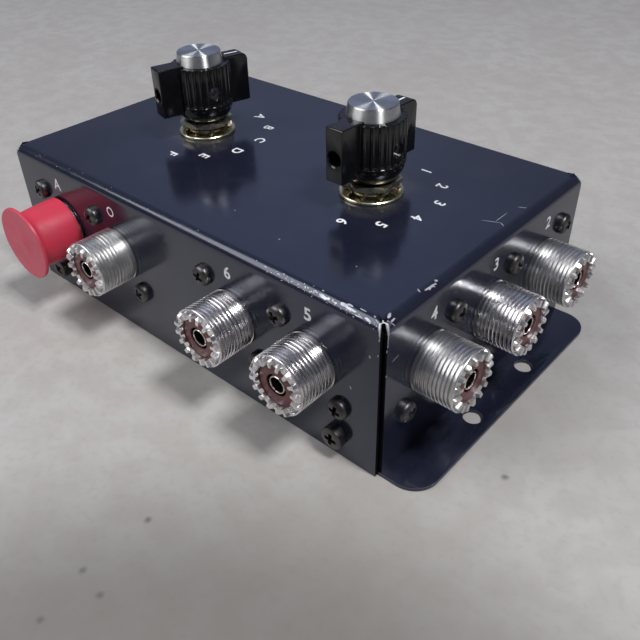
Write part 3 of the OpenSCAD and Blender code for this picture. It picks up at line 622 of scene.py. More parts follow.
def fold_ring(degrees, corner_points=4, side_points=24):
    """One level of the fold, as four sides; each is a list of points from end to end."""
    angle = math.radians(degrees)
    out = FOLD_R * math.sin(angle)
    z = TOP_Z - FOLD_R * (1 - math.cos(angle))
    round_r = out * math.cos(angle)
    short_of = seam_opening(degrees)
    sides = []
    for turns in range(4):
        along, across = (HALF_LEN, HALF_DEP) if turns % 2 == 0 else (HALF_DEP, HALF_LEN)
        end = along - FOLD_R + out
        depth = across - FOLD_R + out
        flat = end - WEAR_REACH
        half = [(flat, depth)]
        for k in range(corner_points + 1):
            a = math.radians(45 * k / corner_points)
            s = end - round_r + round_r * math.sin(a)
            half.append((min(s, end - short_of), depth - round_r * (1 - math.cos(a))))
        middle = [(-flat + 2 * flat * k / side_points, depth) for k in range(1, side_points)]
        line = [(-s, d) for s, d in reversed(half)] + middle + half
        sides.append([quarter_turns(turns) @ Vector((s, -d, z)) for s, d in line])
    return sides


def cover_mesh():
    bm = bmesh.new()
    rings = []
    for degrees in FOLD_LEVELS:
        rings.append([[bm.verts.new(p) for p in side] for side in fold_ring(degrees)])
    for upper, lower in zip(rings, rings[1:]):
        for a, b in zip(upper, lower):
            for k in range(len(a) - 1):
                bm.faces.new((a[k], b[k], b[k + 1], a[k + 1]))
    flaps = []
    for turns, side in enumerate(rings[-1]):
        bottom = LONG_FLAP_LIFT if turns % 2 == 0 else BASE_T + SHORT_FLAP_LIFT
        ends = ((side[-1], WEAR_FOOT), (side[-1], bottom), (side[0], bottom), (side[0], WEAR_FOOT))
        flaps.append(list(side) + [bm.verts.new((v.co.x, v.co.y, z)) for v, z in ends])
    top = [vert for side in rings[0] for vert in side]
    bmesh.ops.remove_doubles(bm, verts=bm.verts, dist=0.004 * MM)
    top = list(dict.fromkeys(v for v in top if v.is_valid))
    shafts = [hole(Matrix.Translation((axis.x, axis.y, TOP_Z)), SHAFT_HOLE_R)
              for axis in (ANTENNA_AXIS, TRANSMITTER_AXIS)]
    fill_panel(bm, top, shafts, UP)
    for turns, flap in enumerate(flaps):
        out = quarter_turns(turns) @ Vector((0, -1, 0))
        fill_panel(bm, [v for v in flap if v.is_valid], panel_holes(out), out)
    thing = placed("temporary", to_mesh(bm, "cover"))
    for material in COVER_MATERIALS:
        thing.data.materials.append(MATERIALS[material])
    solidify = thing.modifiers.new("sheet", "SOLIDIFY")
    solidify.thickness = SHEET
    solidify.offset = -1
    solidify.use_even_offset = True
    solidify.material_offset_rim = 1
    mesh = applied(thing)
    mark_wear(mesh, cover_wear_at)
    return mesh


def panel_holes(out):
    """Hole loops of one side of the cover."""
    holes = []
    for label in ALL_JACKS:
        matrix = jack_matrix(label)
        if matrix.col[2].to_3d().dot(out) > 0.5:
            holes.append(hole(matrix, PANEL_HOLE_R))
            holes += [hole(matrix @ Matrix.Translation(place), SCREW_HOLE_R, 16)
                      for place in jack_screw_places(label)]
    holes += [hole(matrix, SCREW_HOLE_R, 16) for matrix in cover_screw_matrices()
              if matrix.col[2].to_3d().dot(out) > 0.5]
    return holes


def cover_wear_at(normal, point):
    """Wear of the folded edge at a point: along the front, and round the seams' tops."""
    if max(abs(n) for n in normal) > 0.9999:
        return 0.0
    drop = max(0.0, TOP_Z - point.z)
    angle = math.acos(max(0.0, 1 - drop / FOLD_R))
    degrees = math.degrees(angle)
    corner = FOLD_R * (1 - math.sin(angle))
    inward = [HALF_LEN - abs(point.x) - corner, HALF_DEP - abs(point.y) - corner]
    if min(inward) > 0.5 * MM:
        return 0.0
    worn_seam = max(inward) < seam_opening(degrees) + SEAM_WEAR_WIDTH
    if degrees > SEAM_WEAR_TOP_DEG and drop < SEAM_WEAR_DROP and worn_seam:
        return 1.0
    if drop > FOLD_R * 0.99 or drop < 0.01 * MM:
        return 0.0
    rightward = min(1.0, max(0.0, (point.x + HALF_LEN) / (2 * HALF_LEN)))
    on_front = point.y < -(HALF_DEP - FOLD_R)
    most = FRONT_WEAR + NEAR_CORNER_WEAR * rightward ** 6 if on_front else FOLD_WEAR
    return math.sin(2 * angle) * most


def mark_wear(mesh, wear_at):
    """Stores each face corner's wear; wear_at takes the face's normal and the corner's point."""
    wear = mesh.attributes.new("wear", "FLOAT", "CORNER")
    for face in mesh.polygons:
        for loop in face.loop_indices:
            point = mesh.vertices[mesh.loops[loop].vertex_index].co
            wear.data[loop].value = wear_at(face.normal, point)


def fold_point(side, along, degrees, lift):
    """Point on the front (0) or right (1) fold, and the way out of its surface there."""
    angle = math.radians(degrees)
    out = Vector((0, -math.sin(angle), math.cos(angle)))
    reach = HALF_DEP if side == 0 else HALF_LEN
    place = Vector((along, -(reach - FOLD_R), TOP_Z - FOLD_R)) + out * (FOLD_R + lift)
    return quarter_turns(side) @ place


def add_flake(bm, place, length, width, lean):
    """Ragged flake of bare metal; place turns (along, across, lift) into a point."""
    count = 11
    thick = 0.012 * MM
    rim = []
    for k in range(count):
        a = TAU * k / count
        ragged = random.uniform(0.75, 1.15)
        s = 0.5 * length * ragged * math.cos(a)
        t = 0.5 * width * ragged * math.sin(a)
        rim.append((s * math.cos(lean) - t * math.sin(lean),
                    s * math.sin(lean) + t * math.cos(lean)))
    top, bottom = [[bm.verts.new(place(s, t, lift)) for s, t in rim + [(0.0, 0.0)]]
                   for lift in (thick, -thick)]
    for k in range(count):
        n = (k + 1) % count
        bm.faces.new((top[-1], top[k], top[n]))
        bm.faces.new((bottom[-1], bottom[n], bottom[k]))
        bm.faces.new((top[k], bottom[k], bottom[n], top[n]))


def add_fold_flake(bm, side, along, degrees, length, width, lean):
    def place(s, t, lift):
        bend = min(88.0, max(-20.0, degrees + math.degrees(t / FOLD_R)))
        return fold_point(side, along + s, bend, lift)

    add_flake(bm, place, length, width, lean)


def seam_point(side, back, degrees, lift):
    """Point beside the near corner's slot, on the front (0) or right (1) flap.

    back is measured along the flap from the slot; past 90 degrees it is down the flap.
    """
    angle = math.radians(min(90, degrees))
    out = FOLD_R * math.sin(angle)
    z = TOP_Z - FOLD_R * (1 - math.cos(angle)) - FOLD_R * math.radians(max(0, degrees - 90))
    round_r = max(out * math.cos(angle), 0.001 * MM)
    along, across = (HALF_LEN, HALF_DEP) if side == 0 else (HALF_DEP, HALF_LEN)
    end = along - FOLD_R + out
    s = end - seam_opening(min(90, degrees)) - back
    bend = min(math.sqrt(0.5), max(0.0, (s - end + round_r) / round_r))
    s = min(s, end - round_r * (1 - bend)) if bend > 0.7 else s
    depth = across - FOLD_R + out - round_r * (1 - math.sqrt(1 - bend * bend))
    depth += lift * math.sin(angle)
    z += lift * math.cos(angle)
    return Vector((s, -depth, z)) if side == 0 else Vector((depth, -s, z))


def add_seam_flakes(bm):
    """Ragged bare rim round the top of the near corner's slot."""
    lift_off = 0.02 * MM
    for side, lowest in ((0, 118), (1, 150)):
        for degrees in range(30, lowest, 9):
            width = 0.6 * MM * random.uniform(0.7, 1.1) * (1.15 - degrees / 260)
            height = 0.75 * MM

            def place(s, t, lift):
                turn = degrees - math.degrees(t / FOLD_R)
                return seam_point(side, max(0.0, s + 0.35 * width), turn, lift + lift_off)

            add_flake(bm, place, width, height, random.uniform(-0.2, 0.2))


def add_flat_flake(bm, centre, across, up, length, width, lean):
    """Flake or scratch on a flat panel; lean is measured from across towards up."""
    out = across.cross(up)
    add_flake(bm, lambda s, t, lift: centre + across * s + up * t + out * lift,
              length, width, lean)


# Rows: place along the fold, angle round it, length, width and lean (mm, degrees, radians).
FRONT_FOLD_CHIPS = (
    (53.2, 42, 2.6, 0.89, 0.09), (54.7, 40, 1.0, 0.53, -0.1), (56.8, 42, 0.8, 0.42, 0.17),
    (58.8, 32, 2.2, 0.79, -0.12), (60.5, 38, 3.8, 0.58, 0.05), (63.3, 16, 1.9, 0.34, 0),
    (60.1, 22, 1.7, 0.42, 0), (65.6, 46, 1.9, 0.61, 0.21), (63.0, 51, 1.6, 0.24, 0),
    (66.5, 20, 0.8, 0.34, 0.39), (47.4, 27, 0.3, 0.21, 0.07), (49.7, 17, 0.3, 0.21, 0.17),
    (52.4, 17, 0.6, 0.24, 0.11))
RIGHT_FOLD_CHIPS = (
    (-29.2, 5, 1.8, 0.42, 1.96), (-26.3, 27, 3.7, 0.58, 0.06), (-23.6, 20, 0.8, 0.63, 0.61),
    (-24.5, 30, 0.6, 0.39, 1.15), (-26.7, 33, 0.9, 0.32, 2.8), (-25.4, 35, 0.9, 0.26, 0.62),
    (-40.3, 18, 1.7, 0.74, 2.78), (-40.3, 42, 1.6, 0.45, 3.04),
    (-41.6, 30, 1.2, 0.26, 1.15), (-40.9, 55, 1.5, 0.24, 1.05))
# Rows: place across and up the panel, length, width and lean (mm, radians).
TOP_CHIPS = (
    (64.4, 5.9, 5.6, 0.16, 0.42), (67.3, 6.4, 1.9, 0.2, -0.55), (65.3, 9.5, 5.4, 0.14, 1.57),
    (66.9, 17.0, 2.3, 0.18, 0.44), (30.5, -33.0, 0.5, 0.3, 0.9), (52.0, -30.5, 0.5, 0.25, 0.2),
    (12.0, -30.0, 0.45, 0.25, 1.2), (-20.0, -12.0, 0.4, 0.25, 0.4))
FRONT_CHIPS = ((66.9, 35.7, 0.9, 0.4, 1.7), (61.8, 24.0, 0.9, 0.35, 2.3), (69.0, 37.1, 0.6, 0.2, 1.5))
RIGHT_CHIPS = (
    (-43.2, 38.4, 0.8, 0.25, 1.5), (-40.0, 34.6, 2.4, 0.16, 0.25), (-43.1, 31.5, 0.6, 0.2, 1.4))


def make_chips():
    """Bare flakes along the front fold, thick towards the near corner, and a few others."""
    bm = bmesh.new()
    for _ in range(70):
        share = random.random() ** 0.6
        along = (30 + 38 * share) * MM
        degrees = random.gauss(42 + 6 * share, 9)
        size = random.uniform(0.15, 0.4)
        add_fold_flake(bm, 0, along, degrees, size * 1.6 * MM, size * 0.6 * MM,
                       random.gauss(0.2, 0.5))
    for _ in range(14):
        along = random.uniform(-66, 24) * MM
        add_fold_flake(bm, 0, along, random.gauss(40, 14), random.uniform(0.15, 0.4) * MM,
                       random.uniform(0.1, 0.2) * MM, random.uniform(-0.6, 0.6))
    for side, rows in enumerate((FRONT_FOLD_CHIPS, RIGHT_FOLD_CHIPS)):
        for along, degrees, length, width, lean in rows:
            add_fold_flake(bm, side, along * MM, degrees, length * MM, width * MM, lean)
    add_seam_flakes(bm)
    x, y = Vector((1, 0, 0)), Vector((0, 1, 0))
    for panel, across, up, rows in ((UP * TOP_Z, x, y, TOP_CHIPS),
                                    (y * -HALF_DEP, x, UP, FRONT_CHIPS),
                                    (x * HALF_LEN, y, UP, RIGHT_CHIPS)):
        for a, b, length, width, lean in rows:
            add_flat_flake(bm, panel + (across * a + up * b) * MM, across, up,
                           length * MM, width * MM, lean)
    piece("chipped_paint", to_mesh(bm, "chips"), "box", "black_paint",
          materials=["chipped_edge"])


def rounded_outline(half_x, half_y, radius, steps=12):
    """Rectangle with round corners, anticlockwise."""
    points = []
    for cx, cy, start in ((1, 1, 0), (-1, 1, 90), (-1, -1, 180), (1, -1, 270)):
        for k in range(steps + 1):
            a = math.radians(start + 90 * k / steps)
            points.append((cx * (half_x - radius) + radius * math.cos(a),
                           cy * (half_y - radius) + radius * math.sin(a)))
    return points


def base_mesh():
    """Plate with the flanges' holes, and a lip inside each long flap of the cover."""
    bm = bmesh.new()
    half_y = BASE_HIGH.y
    pattern = MOUNTS["flange_holes"]["dims"]
    hole_x = pattern["spacing_x_mm"] * MM / 2
    hole_y = pattern["spacing_y_mm"] * MM / 2
    hole_r = pattern["hole_r_mm"] * MM
    walls = []
    for z in (BASE_T, 0.0):
        outline = [bm.verts.new((x, y, z))
                   for x, y in rounded_outline(BASE_HIGH.x, half_y, FLANGE_R)]
        holes = [[(cx + x, cy + y, z) for x, y, _ in circle_points(hole_r, z, 40)]
                 for cx in (-hole_x, hole_x) for cy in (-hole_y, hole_y)]
        walls.append(fill_panel(bm, outline, holes, UP))
    for above, below in zip(*walls):
        bridge(bm, above, below)
    plate = bevelled(to_mesh(bm, "plate"), 0.18 * MM, 2, 50)
    bm = bmesh.new()
    bm.from_mesh(plate)
    lip = [(-LIP_HALF_LEN, BASE_T), (LIP_HALF_LEN, BASE_T),
           (LIP_HALF_LEN, LIP_H), (-LIP_HALF_LEN, LIP_H)]
    extrude_outline(bm, lip, -half_y, BASE_T - half_y)
    extrude_outline(bm, lip, half_y - BASE_T, half_y)
    mesh = to_mesh(bm, "base")
    mark_wear(mesh, lambda normal, point: 0.5 if 0.05 < abs(normal.z) < 0.97 else 0.0)
    return mesh


# ======================= jacks =======================

def thread_radius(z):
    """Radius of the barrel at height z, with a groove for each turn of the thread."""
    wave = 0.5 - 0.5 * math.cos(TAU * z / THREAD_PITCH)
    groove = min(1.0, max(0.0, (wave - 0.28) / 0.5))
    groove = groove * groove * (3 - 2 * groove)
    lead = min(1.0, max(0.0, z / (0.5 * THREAD_PITCH)))
    run_out = min(1.0, max(0.0, (THREAD_END - z) / (0.4 * THREAD_PITCH)))
    return THREAD_R - THREAD_DEPTH * groove * lead * run_out


def jack_shell_mesh():
    """Flange, threaded barrel and toothed rim of one jack, as one closed skin."""
    samples = len(TOOTH_SHAPE)
    count = TEETH * samples
    tall = [random.uniform(0.86, 1.04) for _ in range(TEETH)]
    wide = [random.uniform(-0.05, 0.05) * MM for _ in range(TEETH)]

    def rim(radius, share, spread=0):
        """Profile point at a share of the teeth's height; spread 1 makes them uneven outward."""
        def tooth_r(k):
            return radius + spread * wide[k // samples] * TOOTH_SHAPE[k % samples] * share

        def tooth_z(k):
            tooth = TOOTH_SHAPE[k % samples] * tall[k // samples]
            return RIM_BASE + share * tooth * (JACK_OUT - RIM_BASE) * 0.96

        return tooth_r, tooth_z

    def square(k):
        a = TAU * k / count
        return FLANGE_HALF / max(abs(math.cos(a)), abs(math.sin(a)))

    steps = int(THREAD_END / THREAD_PITCH * 10)
    heights = [THREAD_END * k / steps for k in range(steps, -1, -1)]
    return turned_mesh("jack", [
        (BORE_R, -BOSS_BACK), (BORE_R, RIM_BASE), rim(BORE_R + 0.02 * MM, 0.94),
        rim(BORE_R + RIM_EDGE, 1), rim(RIM_R - RIM_EDGE, 1, 1), rim(RIM_R, 0.94, 1),
        (RIM_FOOT_R, RIM_BASE)] + [(thread_radius(z), z) for z in heights] + [
        (THREAD_R, -SHEET), (square, -SHEET), (square, -FLANGE_BACK),
        (BOSS_R, -FLANGE_BACK), (BOSS_R, -BOSS_BACK)], count, closed=True)


def insulator_mesh():
    wall = BORE_R - 0.05 * MM
    gap = CONTACT_R + 0.45 * MM
    snug = CONTACT_R + 0.05 * MM
    neck = wall - 1.15 * MM
    # painted shade: the bands lining the gap round the contact take the second material
    shaded_gap_bands = (0, 9)
    return turned_mesh("insulator", [
        (gap, SOCKET_BOTTOM), (gap, INSULATOR_FRONT - 0.3 * MM),
        (gap + 0.12 * MM, INSULATOR_FRONT), (wall - 0.5 * MM, INSULATOR_FRONT),
        (wall, INSULATOR_FRONT - 0.2 * MM), (wall, -BOSS_BACK),
        (neck, -BOSS_BACK), (neck, -INSULATOR_BACK),
        (snug, -INSULATOR_BACK), (snug, SOCKET_BOTTOM)], closed=True, second=shaded_gap_bands)


def contact_mesh():
    """Split socket in front, solid body and solder tail behind; the slot sides and the socket's depths take
    painted shade.
    """
    bm = bmesh.new()
    slot_half = 0.11 * MM
    steps = 10
    lit_depth = 0.25 * MM
    lip = 0.14 * MM
    outer_tip = CONTACT_R - 0.1 * MM
    loop = [(SOCKET_R, SOCKET_BOTTOM), (CONTACT_R, SOCKET_BOTTOM),
            (CONTACT_R, CONTACT_FRONT - 3 * MM), (outer_tip, CONTACT_FRONT - lip),
            (outer_tip - lip, CONTACT_FRONT), (SOCKET_R + 0.5 * lip, CONTACT_FRONT),
            (SOCKET_R, CONTACT_FRONT - lip), (SOCKET_R, CONTACT_FRONT - lit_depth)]
    for quarter in range(4):
        columns = []
        for k in range(steps + 1):
            column = []
            for r, z in loop:
                half = math.asin(slot_half / r)
                start = math.radians(35 + 90 * quarter) + half
                a = start + (math.pi / 2 - 2 * half) * k / steps
                column.append(bm.verts.new((r * math.cos(a), r * math.sin(a), z)))
            columns.append(column)
        for a, b in zip(columns, columns[1:]):
            bridge(bm, a, b)
        for side in (columns[0], list(reversed(columns[-1]))):
            # the slot's side faces take the second material, painted shade
            bm.faces.new(side).material_index = 1
    collar = -INSULATOR_BACK - 0.4 * MM
    lathe(bm, [(SOCKET_R, SOCKET_BOTTOM), (CONTACT_R, SOCKET_BOTTOM), (CONTACT_R, collar),
               (TAIL_R, collar), (TAIL_R, -TAIL_REACH)], 40)
    # painted shade: faces deeper in the socket than lit_depth take the second material
    for face in bm.faces:
        reach = max(vert.co.xy.length for vert in face.verts)
        depth = CONTACT_FRONT - max(vert.co.z for vert in face.verts)
        in_bore = reach < SOCKET_R + 0.01 * MM and depth > 0.9 * lit_depth
        if in_bore and min(vert.co.z for vert in face.verts) > 0:
            face.material_index = 1
    return to_mesh(bm, "contact")


def stamped(template, matrices):
    bm = bmesh.new()
    for matrix in matrices:
        stamp(bm, template, matrix)
    return to_mesh(bm, template.name)


def spin(degrees):
    return Matrix.Rotation(math.radians(degrees), 4, "Z")


def make_jacks():
    dull = ("2", "4", "transmitter_common", "c", "e")
    for label in ALL_JACKS:
        # the flange's corners stay put, so only a quarter turn is free
        matrix = jack_matrix(label) @ spin(random.choice((0, 90, 180, 270)))
        mesh = jack_shell_mesh()
        mesh.transform(matrix)
        plating = "dull_nickel" if label in dull else "nickel_plate"
        piece("jack_%s_shell" % label, mesh, "box", "nickel_plate", ["jack_" + label],
              [plating], 34)
    insulator, contact = insulator_mesh(), contact_mesh()
    for group, labels in (("antenna", ANTENNA_JACKS), ("transmitter", TRANSMITTER_JACKS)):
        places = [jack_matrix(label) @ spin(random.uniform(0, 90)) for label in labels]
        piece(group + "_jack_insulators", stamped(insulator, places), "box", "phenolic",
              [group + "_insulators"], ["phenolic", "painted_gap_shade"])
        piece(group + "_jack_contacts", stamped(contact, places), "box", "silver_plate",
              [group + "_contacts"], ["silver_plate", "painted_bore_shade"])


# ======================= screws =======================

def screw_mesh(shank_r, length, head_r, head_h, side):
    """Pan-head screw with a cross recess; its head stands above z = 0.

    side is the part of the head's height at which its rounded top begins.
    """
    dome = []
    for k in range(1, 8):
        angle = math.pi / 2 * k / 8
        dome.append((head_r * math.cos(angle) ** 0.75,
                     head_h * (side + (1 - side) * math.sin(angle))))
    head = turned_mesh("screw", [(shank_r, -length), (shank_r, 0.0), (head_r, 0.0),
                                 (head_r, 0.9 * side * head_h)]
                       + dome + [(0.12 * head_r, head_h)], 48)
    bm = bmesh.new()
    reach, width = 0.56 * head_r, 0.17 * head_r
    plus = [(reach, -width), (reach, width), (width, width)]
    for _ in range(3):
        plus += [(-y, x) for x, y in plus[-3:]]
    rings = [[(x * k, y * k, z) for x, y in plus]
             for k, z in ((1.12, head_h * 1.3), (1.0, head_h * 0.95), (0.45, head_h * 0.2))]
    made = skin(bm, rings)
    bm.faces.new(made[0])
    bm.faces.new(list(reversed(made[-1])))
    return carve(head, [to_mesh(bm, "recess")])


def make_screws():
    small = screw_mesh(1.45 * MM, 6.4 * MM, 2.85 * MM, 2.1 * MM, 0.36)
    places = [jack_matrix(label) @ Matrix.Translation(place) @ spin(random.uniform(0, 90))
              for label in ALL_JACKS for place in jack_screw_places(label)]
    piece("jack_screw_heads", stamped(small, places), "box", "black_screw", ["jack_screws"])
    large = screw_mesh(1.7 * MM, 7 * MM, 3.1 * MM, 2.7 * MM, 0.82)
    places = [matrix @ spin(random.uniform(0, 90)) for matrix in cover_screw_matrices()]
    piece("cover_screw_heads", stamped(large, places), "box", "black_screw", ["cover_screws"])


# ======================= cap =======================

def make_cap():
    """Soft cap: skirt drawn in to a waist, then flared out to a thin front disc."""
    foot = CAP_MOUTH + 0.2 * MM
    drawn = CAP_INNER - CAP_MOUTH - 1.2 * MM
    flare_start = foot + drawn
    flare_end = CAP_FRONT - 1 * MM
    profile = [(0.6 * MM, CAP_INNER), (CAP_BORE_R, CAP_INNER), (CAP_BORE_R, foot),
               (CAP_BORE_R + 0.15 * MM, CAP_MOUTH), (CAP_SKIRT_R - 0.2 * MM, CAP_MOUTH),
               (CAP_SKIRT_R, foot)]
    for k in range(1, 13):
        share = k / 12
        profile.append((CAP_SKIRT_R - (CAP_SKIRT_R - CAP_WAIST_R) * share ** 2.2,
                        foot + drawn * share))
    for k in range(1, 10):
        share = k / 9
        rise = math.sin(share * math.pi / 2) ** 0.9
        profile.append((CAP_WAIST_R + (CAP_DISC_R - 0.12 * MM - CAP_WAIST_R) * share ** 2.1,
                        flare_start + (flare_end - flare_start) * rise))
    profile.append((CAP_DISC_R, flare_end + 0.14 * MM))
    for inward, back in ((0, 0.3), (0.1, 0.09), (0.32, 0.01), (0.8, 0.03)):
        profile.append((CAP_DISC_R - inward * MM, CAP_FRONT - back * MM))
    profile += [(0.6 * CAP_DISC_R, CAP_FRONT - 0.1 * MM), (0.75 * MM, CAP_FRONT - 0.12 * MM),
                (0.55 * MM, CAP_FRONT - 0.02 * MM), (0.2 * MM, CAP_FRONT)]
    mesh = turned_mesh("cap", profile, 96)
    for vert in mesh.vertices:
        angle = math.atan2(vert.co.y, vert.co.x)
        soft = 0.05 * MM * math.sin(2 * angle + 0.7) + 0.03 * MM * math.sin(5 * angle)
        if vert.co.xy.length > 0.85 * CAP_DISC_R and vert.co.z > flare_start:
            vert.co.z = min(CAP_FRONT, vert.co.z - abs(soft))
    mesh.transform(jack_matrix("a"))
    piece("red_cap", mesh, "cap", "red_vinyl", ["spare_jack_cap"], sharp=40)


# ======================= knobs =======================

def fluted(radius, cut=1.0):
    """Radius of the knob's columns, cut in by the flutes between the ridges."""
    def column(k):
        off = abs((k % FLUTE_SAMPLES) / FLUTE_SAMPLES - 0.5)
        return radius - cut * FLUTE_DEPTH * max(0.0, 1 - (off / 0.42) ** 3)

    return column


def knob_body_mesh():
    """Round body of a knob: hollow foot, shoulder and fluted grip."""
    foot = KNOB_LOW + 0.25 * MM
    profile = [(INSERT_R, INSERT_TOP), (INSERT_R, BORE_LOW), (RECESS_R, BORE_LOW),
               (RECESS_R, KNOB_LOW), (FOOT_R - 0.25 * MM, KNOB_LOW), (FOOT_R, foot)]
    for k in range(1, 9):
        share = k / 9
        profile.append((FOOT_R + (KNOB_R - FOOT_R) * math.sin(share * math.pi / 2) ** 0.9,
                        foot + (FLUTE_LOW - foot) * share))
    scoop = 0.9 * MM
    for k in range(0, 7):
        share = k / 6
        profile.append((fluted(KNOB_R, math.sqrt(1 - (1 - share) ** 2)), FLUTE_LOW + scoop * share))
    profile += [(fluted(KNOB_R - 0.02 * MM), KNOB_TOP - 4 * MM),
                (fluted(KNOB_R - 0.05 * MM), KNOB_TOP - 0.35 * MM),
                (fluted(KNOB_R - 0.18 * MM, 0.9), KNOB_TOP - 0.1 * MM),
                (fluted(KNOB_R - 0.5 * MM, 0.6), KNOB_TOP)]
    return turned_mesh("knob", profile, FLUTES * FLUTE_SAMPLES)


def wing_mesh(pointer):
    """One wing as a flat bar; the pointer's upper outer corner is round."""
    start = RECESS_R + 0.6 * MM
    outline = [(start, WING_LOW), (WING_REACH, WING_LOW)]
    corner_r = 1.8 * MM if pointer else 0.5 * MM
    for k in range(7):
        a = math.radians(90 * k / 6)
        outline.append((WING_REACH - corner_r + corner_r * math.cos(a),
                        WING_TOP - corner_r + corner_r * math.sin(a)))
    outline.append((start, WING_TOP))
    bm = bmesh.new()
    side = 1 if pointer else -1
    extrude_outline(bm, [(side * x, z) for x, z in outline], -WING_HALF_T, WING_HALF_T)
    return bevelled(to_mesh(bm, "wing"), 0.28 * MM, 3, 40)


def hole_cutter(mouth, matrix):
    """Round cutter along Z whose mouth is chamfered at the given distance."""
    lip = 0.3 * MM
    mesh = turned_mesh("cutter", [
        (SET_SCREW_HOLE_R, 3 * MM), (SET_SCREW_HOLE_R, mouth - lip),
        (SET_SCREW_HOLE_R + 2 * lip, mouth + lip), (SET_SCREW_HOLE_R + 2 * lip, 20 * MM)], 40)
    mesh.transform(matrix)
    return mesh


def knob_mesh():
    body = carve(knob_body_mesh(), [wing_mesh(True), wing_mesh(False)], "UNION")
    lift = Matrix.Translation((0, 0, SET_SCREW_Z))
    outward = Matrix.Rotation(math.pi / 2, 4, "Y")
    holes = [hole_cutter(mouth, lift @ spin(degrees) @ outward)
             for degrees, mouth in ((180, WING_REACH), (-90, KNOB_R))]
    clear_r = DISC_R + 0.3 * MM
    clear = turned_mesh("cutter", [(clear_r, KNOB_TOP), (clear_r, KNOB_TOP + 5 * MM)])
    return carve(body, holes + [clear])


def disc_mesh():
    """Metal disc on top of a knob, with a raised rim."""
    top_r = DISC_R - 0.45 * MM
    profile = [(0.3 * MM, KNOB_TOP), (DISC_R - 0.1 * MM, KNOB_TOP), (DISC_R, KNOB_TOP + 0.1 * MM)]
    for inward, down in ((0, 0.5), (0.06, 0.25), (0.22, 0.07), (0.45, 0), (0.6, 0.03)):
        profile.append((top_r - inward * MM, DISC_TOP - down * MM))
    profile += [(0.5 * DISC_R, DISC_TOP - 0.06 * MM), (0.3 * MM, DISC_TOP - 0.06 * MM)]
    return turned_mesh("disc", profile, 128)


def line_mesh(start, end, width, z):
    """Thin raised stripe along X, for the knob's pointer line."""
    bm = bmesh.new()
    bmesh.ops.create_cube(bm, size=1)
    for vert in bm.verts:
        vert.co.x = start + (end - start) * (vert.co.x + 0.5)
        vert.co.y *= width
        vert.co.z = z + 0.03 * MM * (vert.co.z + 0.5)
    return to_mesh(bm, "line")


def make_knobs():
    line = line_mesh(8 * MM, WING_REACH - 1.9 * MM, 0.55 * MM, WING_TOP - 0.005 * MM)
    looks = (("_fluted_knob", knob_mesh(), "black_plastic", "black_plastic", "_knob"),
             ("_spun_disc", disc_mesh(), "spun_aluminium", "spun_aluminium", "_knob_disc"),
             ("_pointer_line", line, "black_plastic", "white_ink", None))
    for group, axis, degrees in (("antenna", ANTENNA_AXIS, ANTENNA_KNOB_DEG),
                                 ("transmitter", TRANSMITTER_AXIS, TRANSMITTER_KNOB_DEG)):
        for name, source, slot, material, node in looks:
            mesh = source.copy()
            mesh.transform(Matrix.Translation(axis) @ spin(degrees))
            piece(group + name, mesh, group + "_selector", slot, [group + node] if node else [],
                  [material], 30)


# ======================= nuts and washers =======================

def nut_mesh():
    crown = NUT_HALF_FLAT - 0.15 * MM
    count = 96

    def hexagon(k):
        off = TAU * k / count % (TAU / 6) - TAU / 12
        return NUT_HALF_FLAT / math.cos(off)

    def foot(k):
        return max(0.0, hexagon(k) - crown) * 0.5

    return turned_mesh("nut", [
        (NUT_BORE_R, 0.3 * MM), (NUT_BORE_R + 0.3 * MM, 0), (crown, 0), (hexagon, foot),
        (hexagon, lambda k: NUT_H - foot(k)), (crown, NUT_H), (NUT_BORE_R + 0.35 * MM, NUT_H),
        (NUT_BORE_R, NUT_H - 0.35 * MM)], count, closed=True)


def washer_mesh():
    inner, outer, t, edge = WASHER_BORE_R, WASHER_R, WASHER_T, 0.2 * MM
    return turned_mesh("washer", [
        (inner, edge), (inner + edge, 0), (outer - edge, 0), (outer, edge),
        (outer, t - edge), (outer - edge, t), (inner + edge, t), (inner, t - edge)],
        96, closed=True)


def band_mesh(inner, outer, low, high, count):
    """Plain flat ring."""
    return turned_mesh("band", [(inner, low), (outer, low), (outer, high), (inner, high)],
                       count, closed=True)


def lock_washer_mesh():
    """Flat ring with outward teeth twisted out of its plane; its middle is at z = 0."""
    ring = band_mesh(WASHER_BORE_R, LOCK_RING_R, -LOCK_T / 2, LOCK_T / 2, 80)
    height = NUT_LOW - WASHER_T - 0.1 * MM
    twist = math.radians(LOCK_TWIST)
    width = (height - LOCK_T * math.cos(twist)) / math.sin(twist)
    start = LOCK_RING_R - 0.35 * MM
    size = Matrix.Diagonal((LOCK_TIP_R - start, width, LOCK_T, 1))
    middle = Matrix.Translation(((LOCK_TIP_R + start) / 2, 0, 0))
    teeth = []
    for k in range(LOCK_TEETH):
        bm = bmesh.new()
        bmesh.ops.create_cube(bm, size=1)
        place = spin(6 + 360 * k / LOCK_TEETH) @ middle @ Matrix.Rotation(twist, 4, "X") @ size
        bmesh.ops.transform(bm, matrix=place, verts=bm.verts)
        teeth.append(to_mesh(bm, "tooth"))
    return bevelled(carve(ring, teeth, "UNION"), 0.06 * MM, 2, 40)


def make_hardware():
    for name, mesh, z, turns, slot, material, node in (
            ("hex_nuts", nut_mesh(), NUT_LOW, NUT_TURNS, "yellow_zinc", "yellow_zinc",
             "bushing_nuts"),
            ("round_washers", washer_mesh(), 0, (0, 50), "yellow_zinc", "yellow_zinc",
             "flat_washers"),
            # the toothed washers take the darker zinc as painted shade
            ("toothed_washers", lock_washer_mesh(), LOCK_MIDDLE, (0, 0), "zinc_plate",
             "shaded_zinc", "lock_washers")):
        places = [Matrix.Translation(axis + UP * z) @ spin(degrees)
                  for axis, degrees in zip((ANTENNA_AXIS, TRANSMITTER_AXIS), turns)]
        piece(name, stamped(mesh, places), "box", slot, [node], [material])


# ======================= printed marks =======================

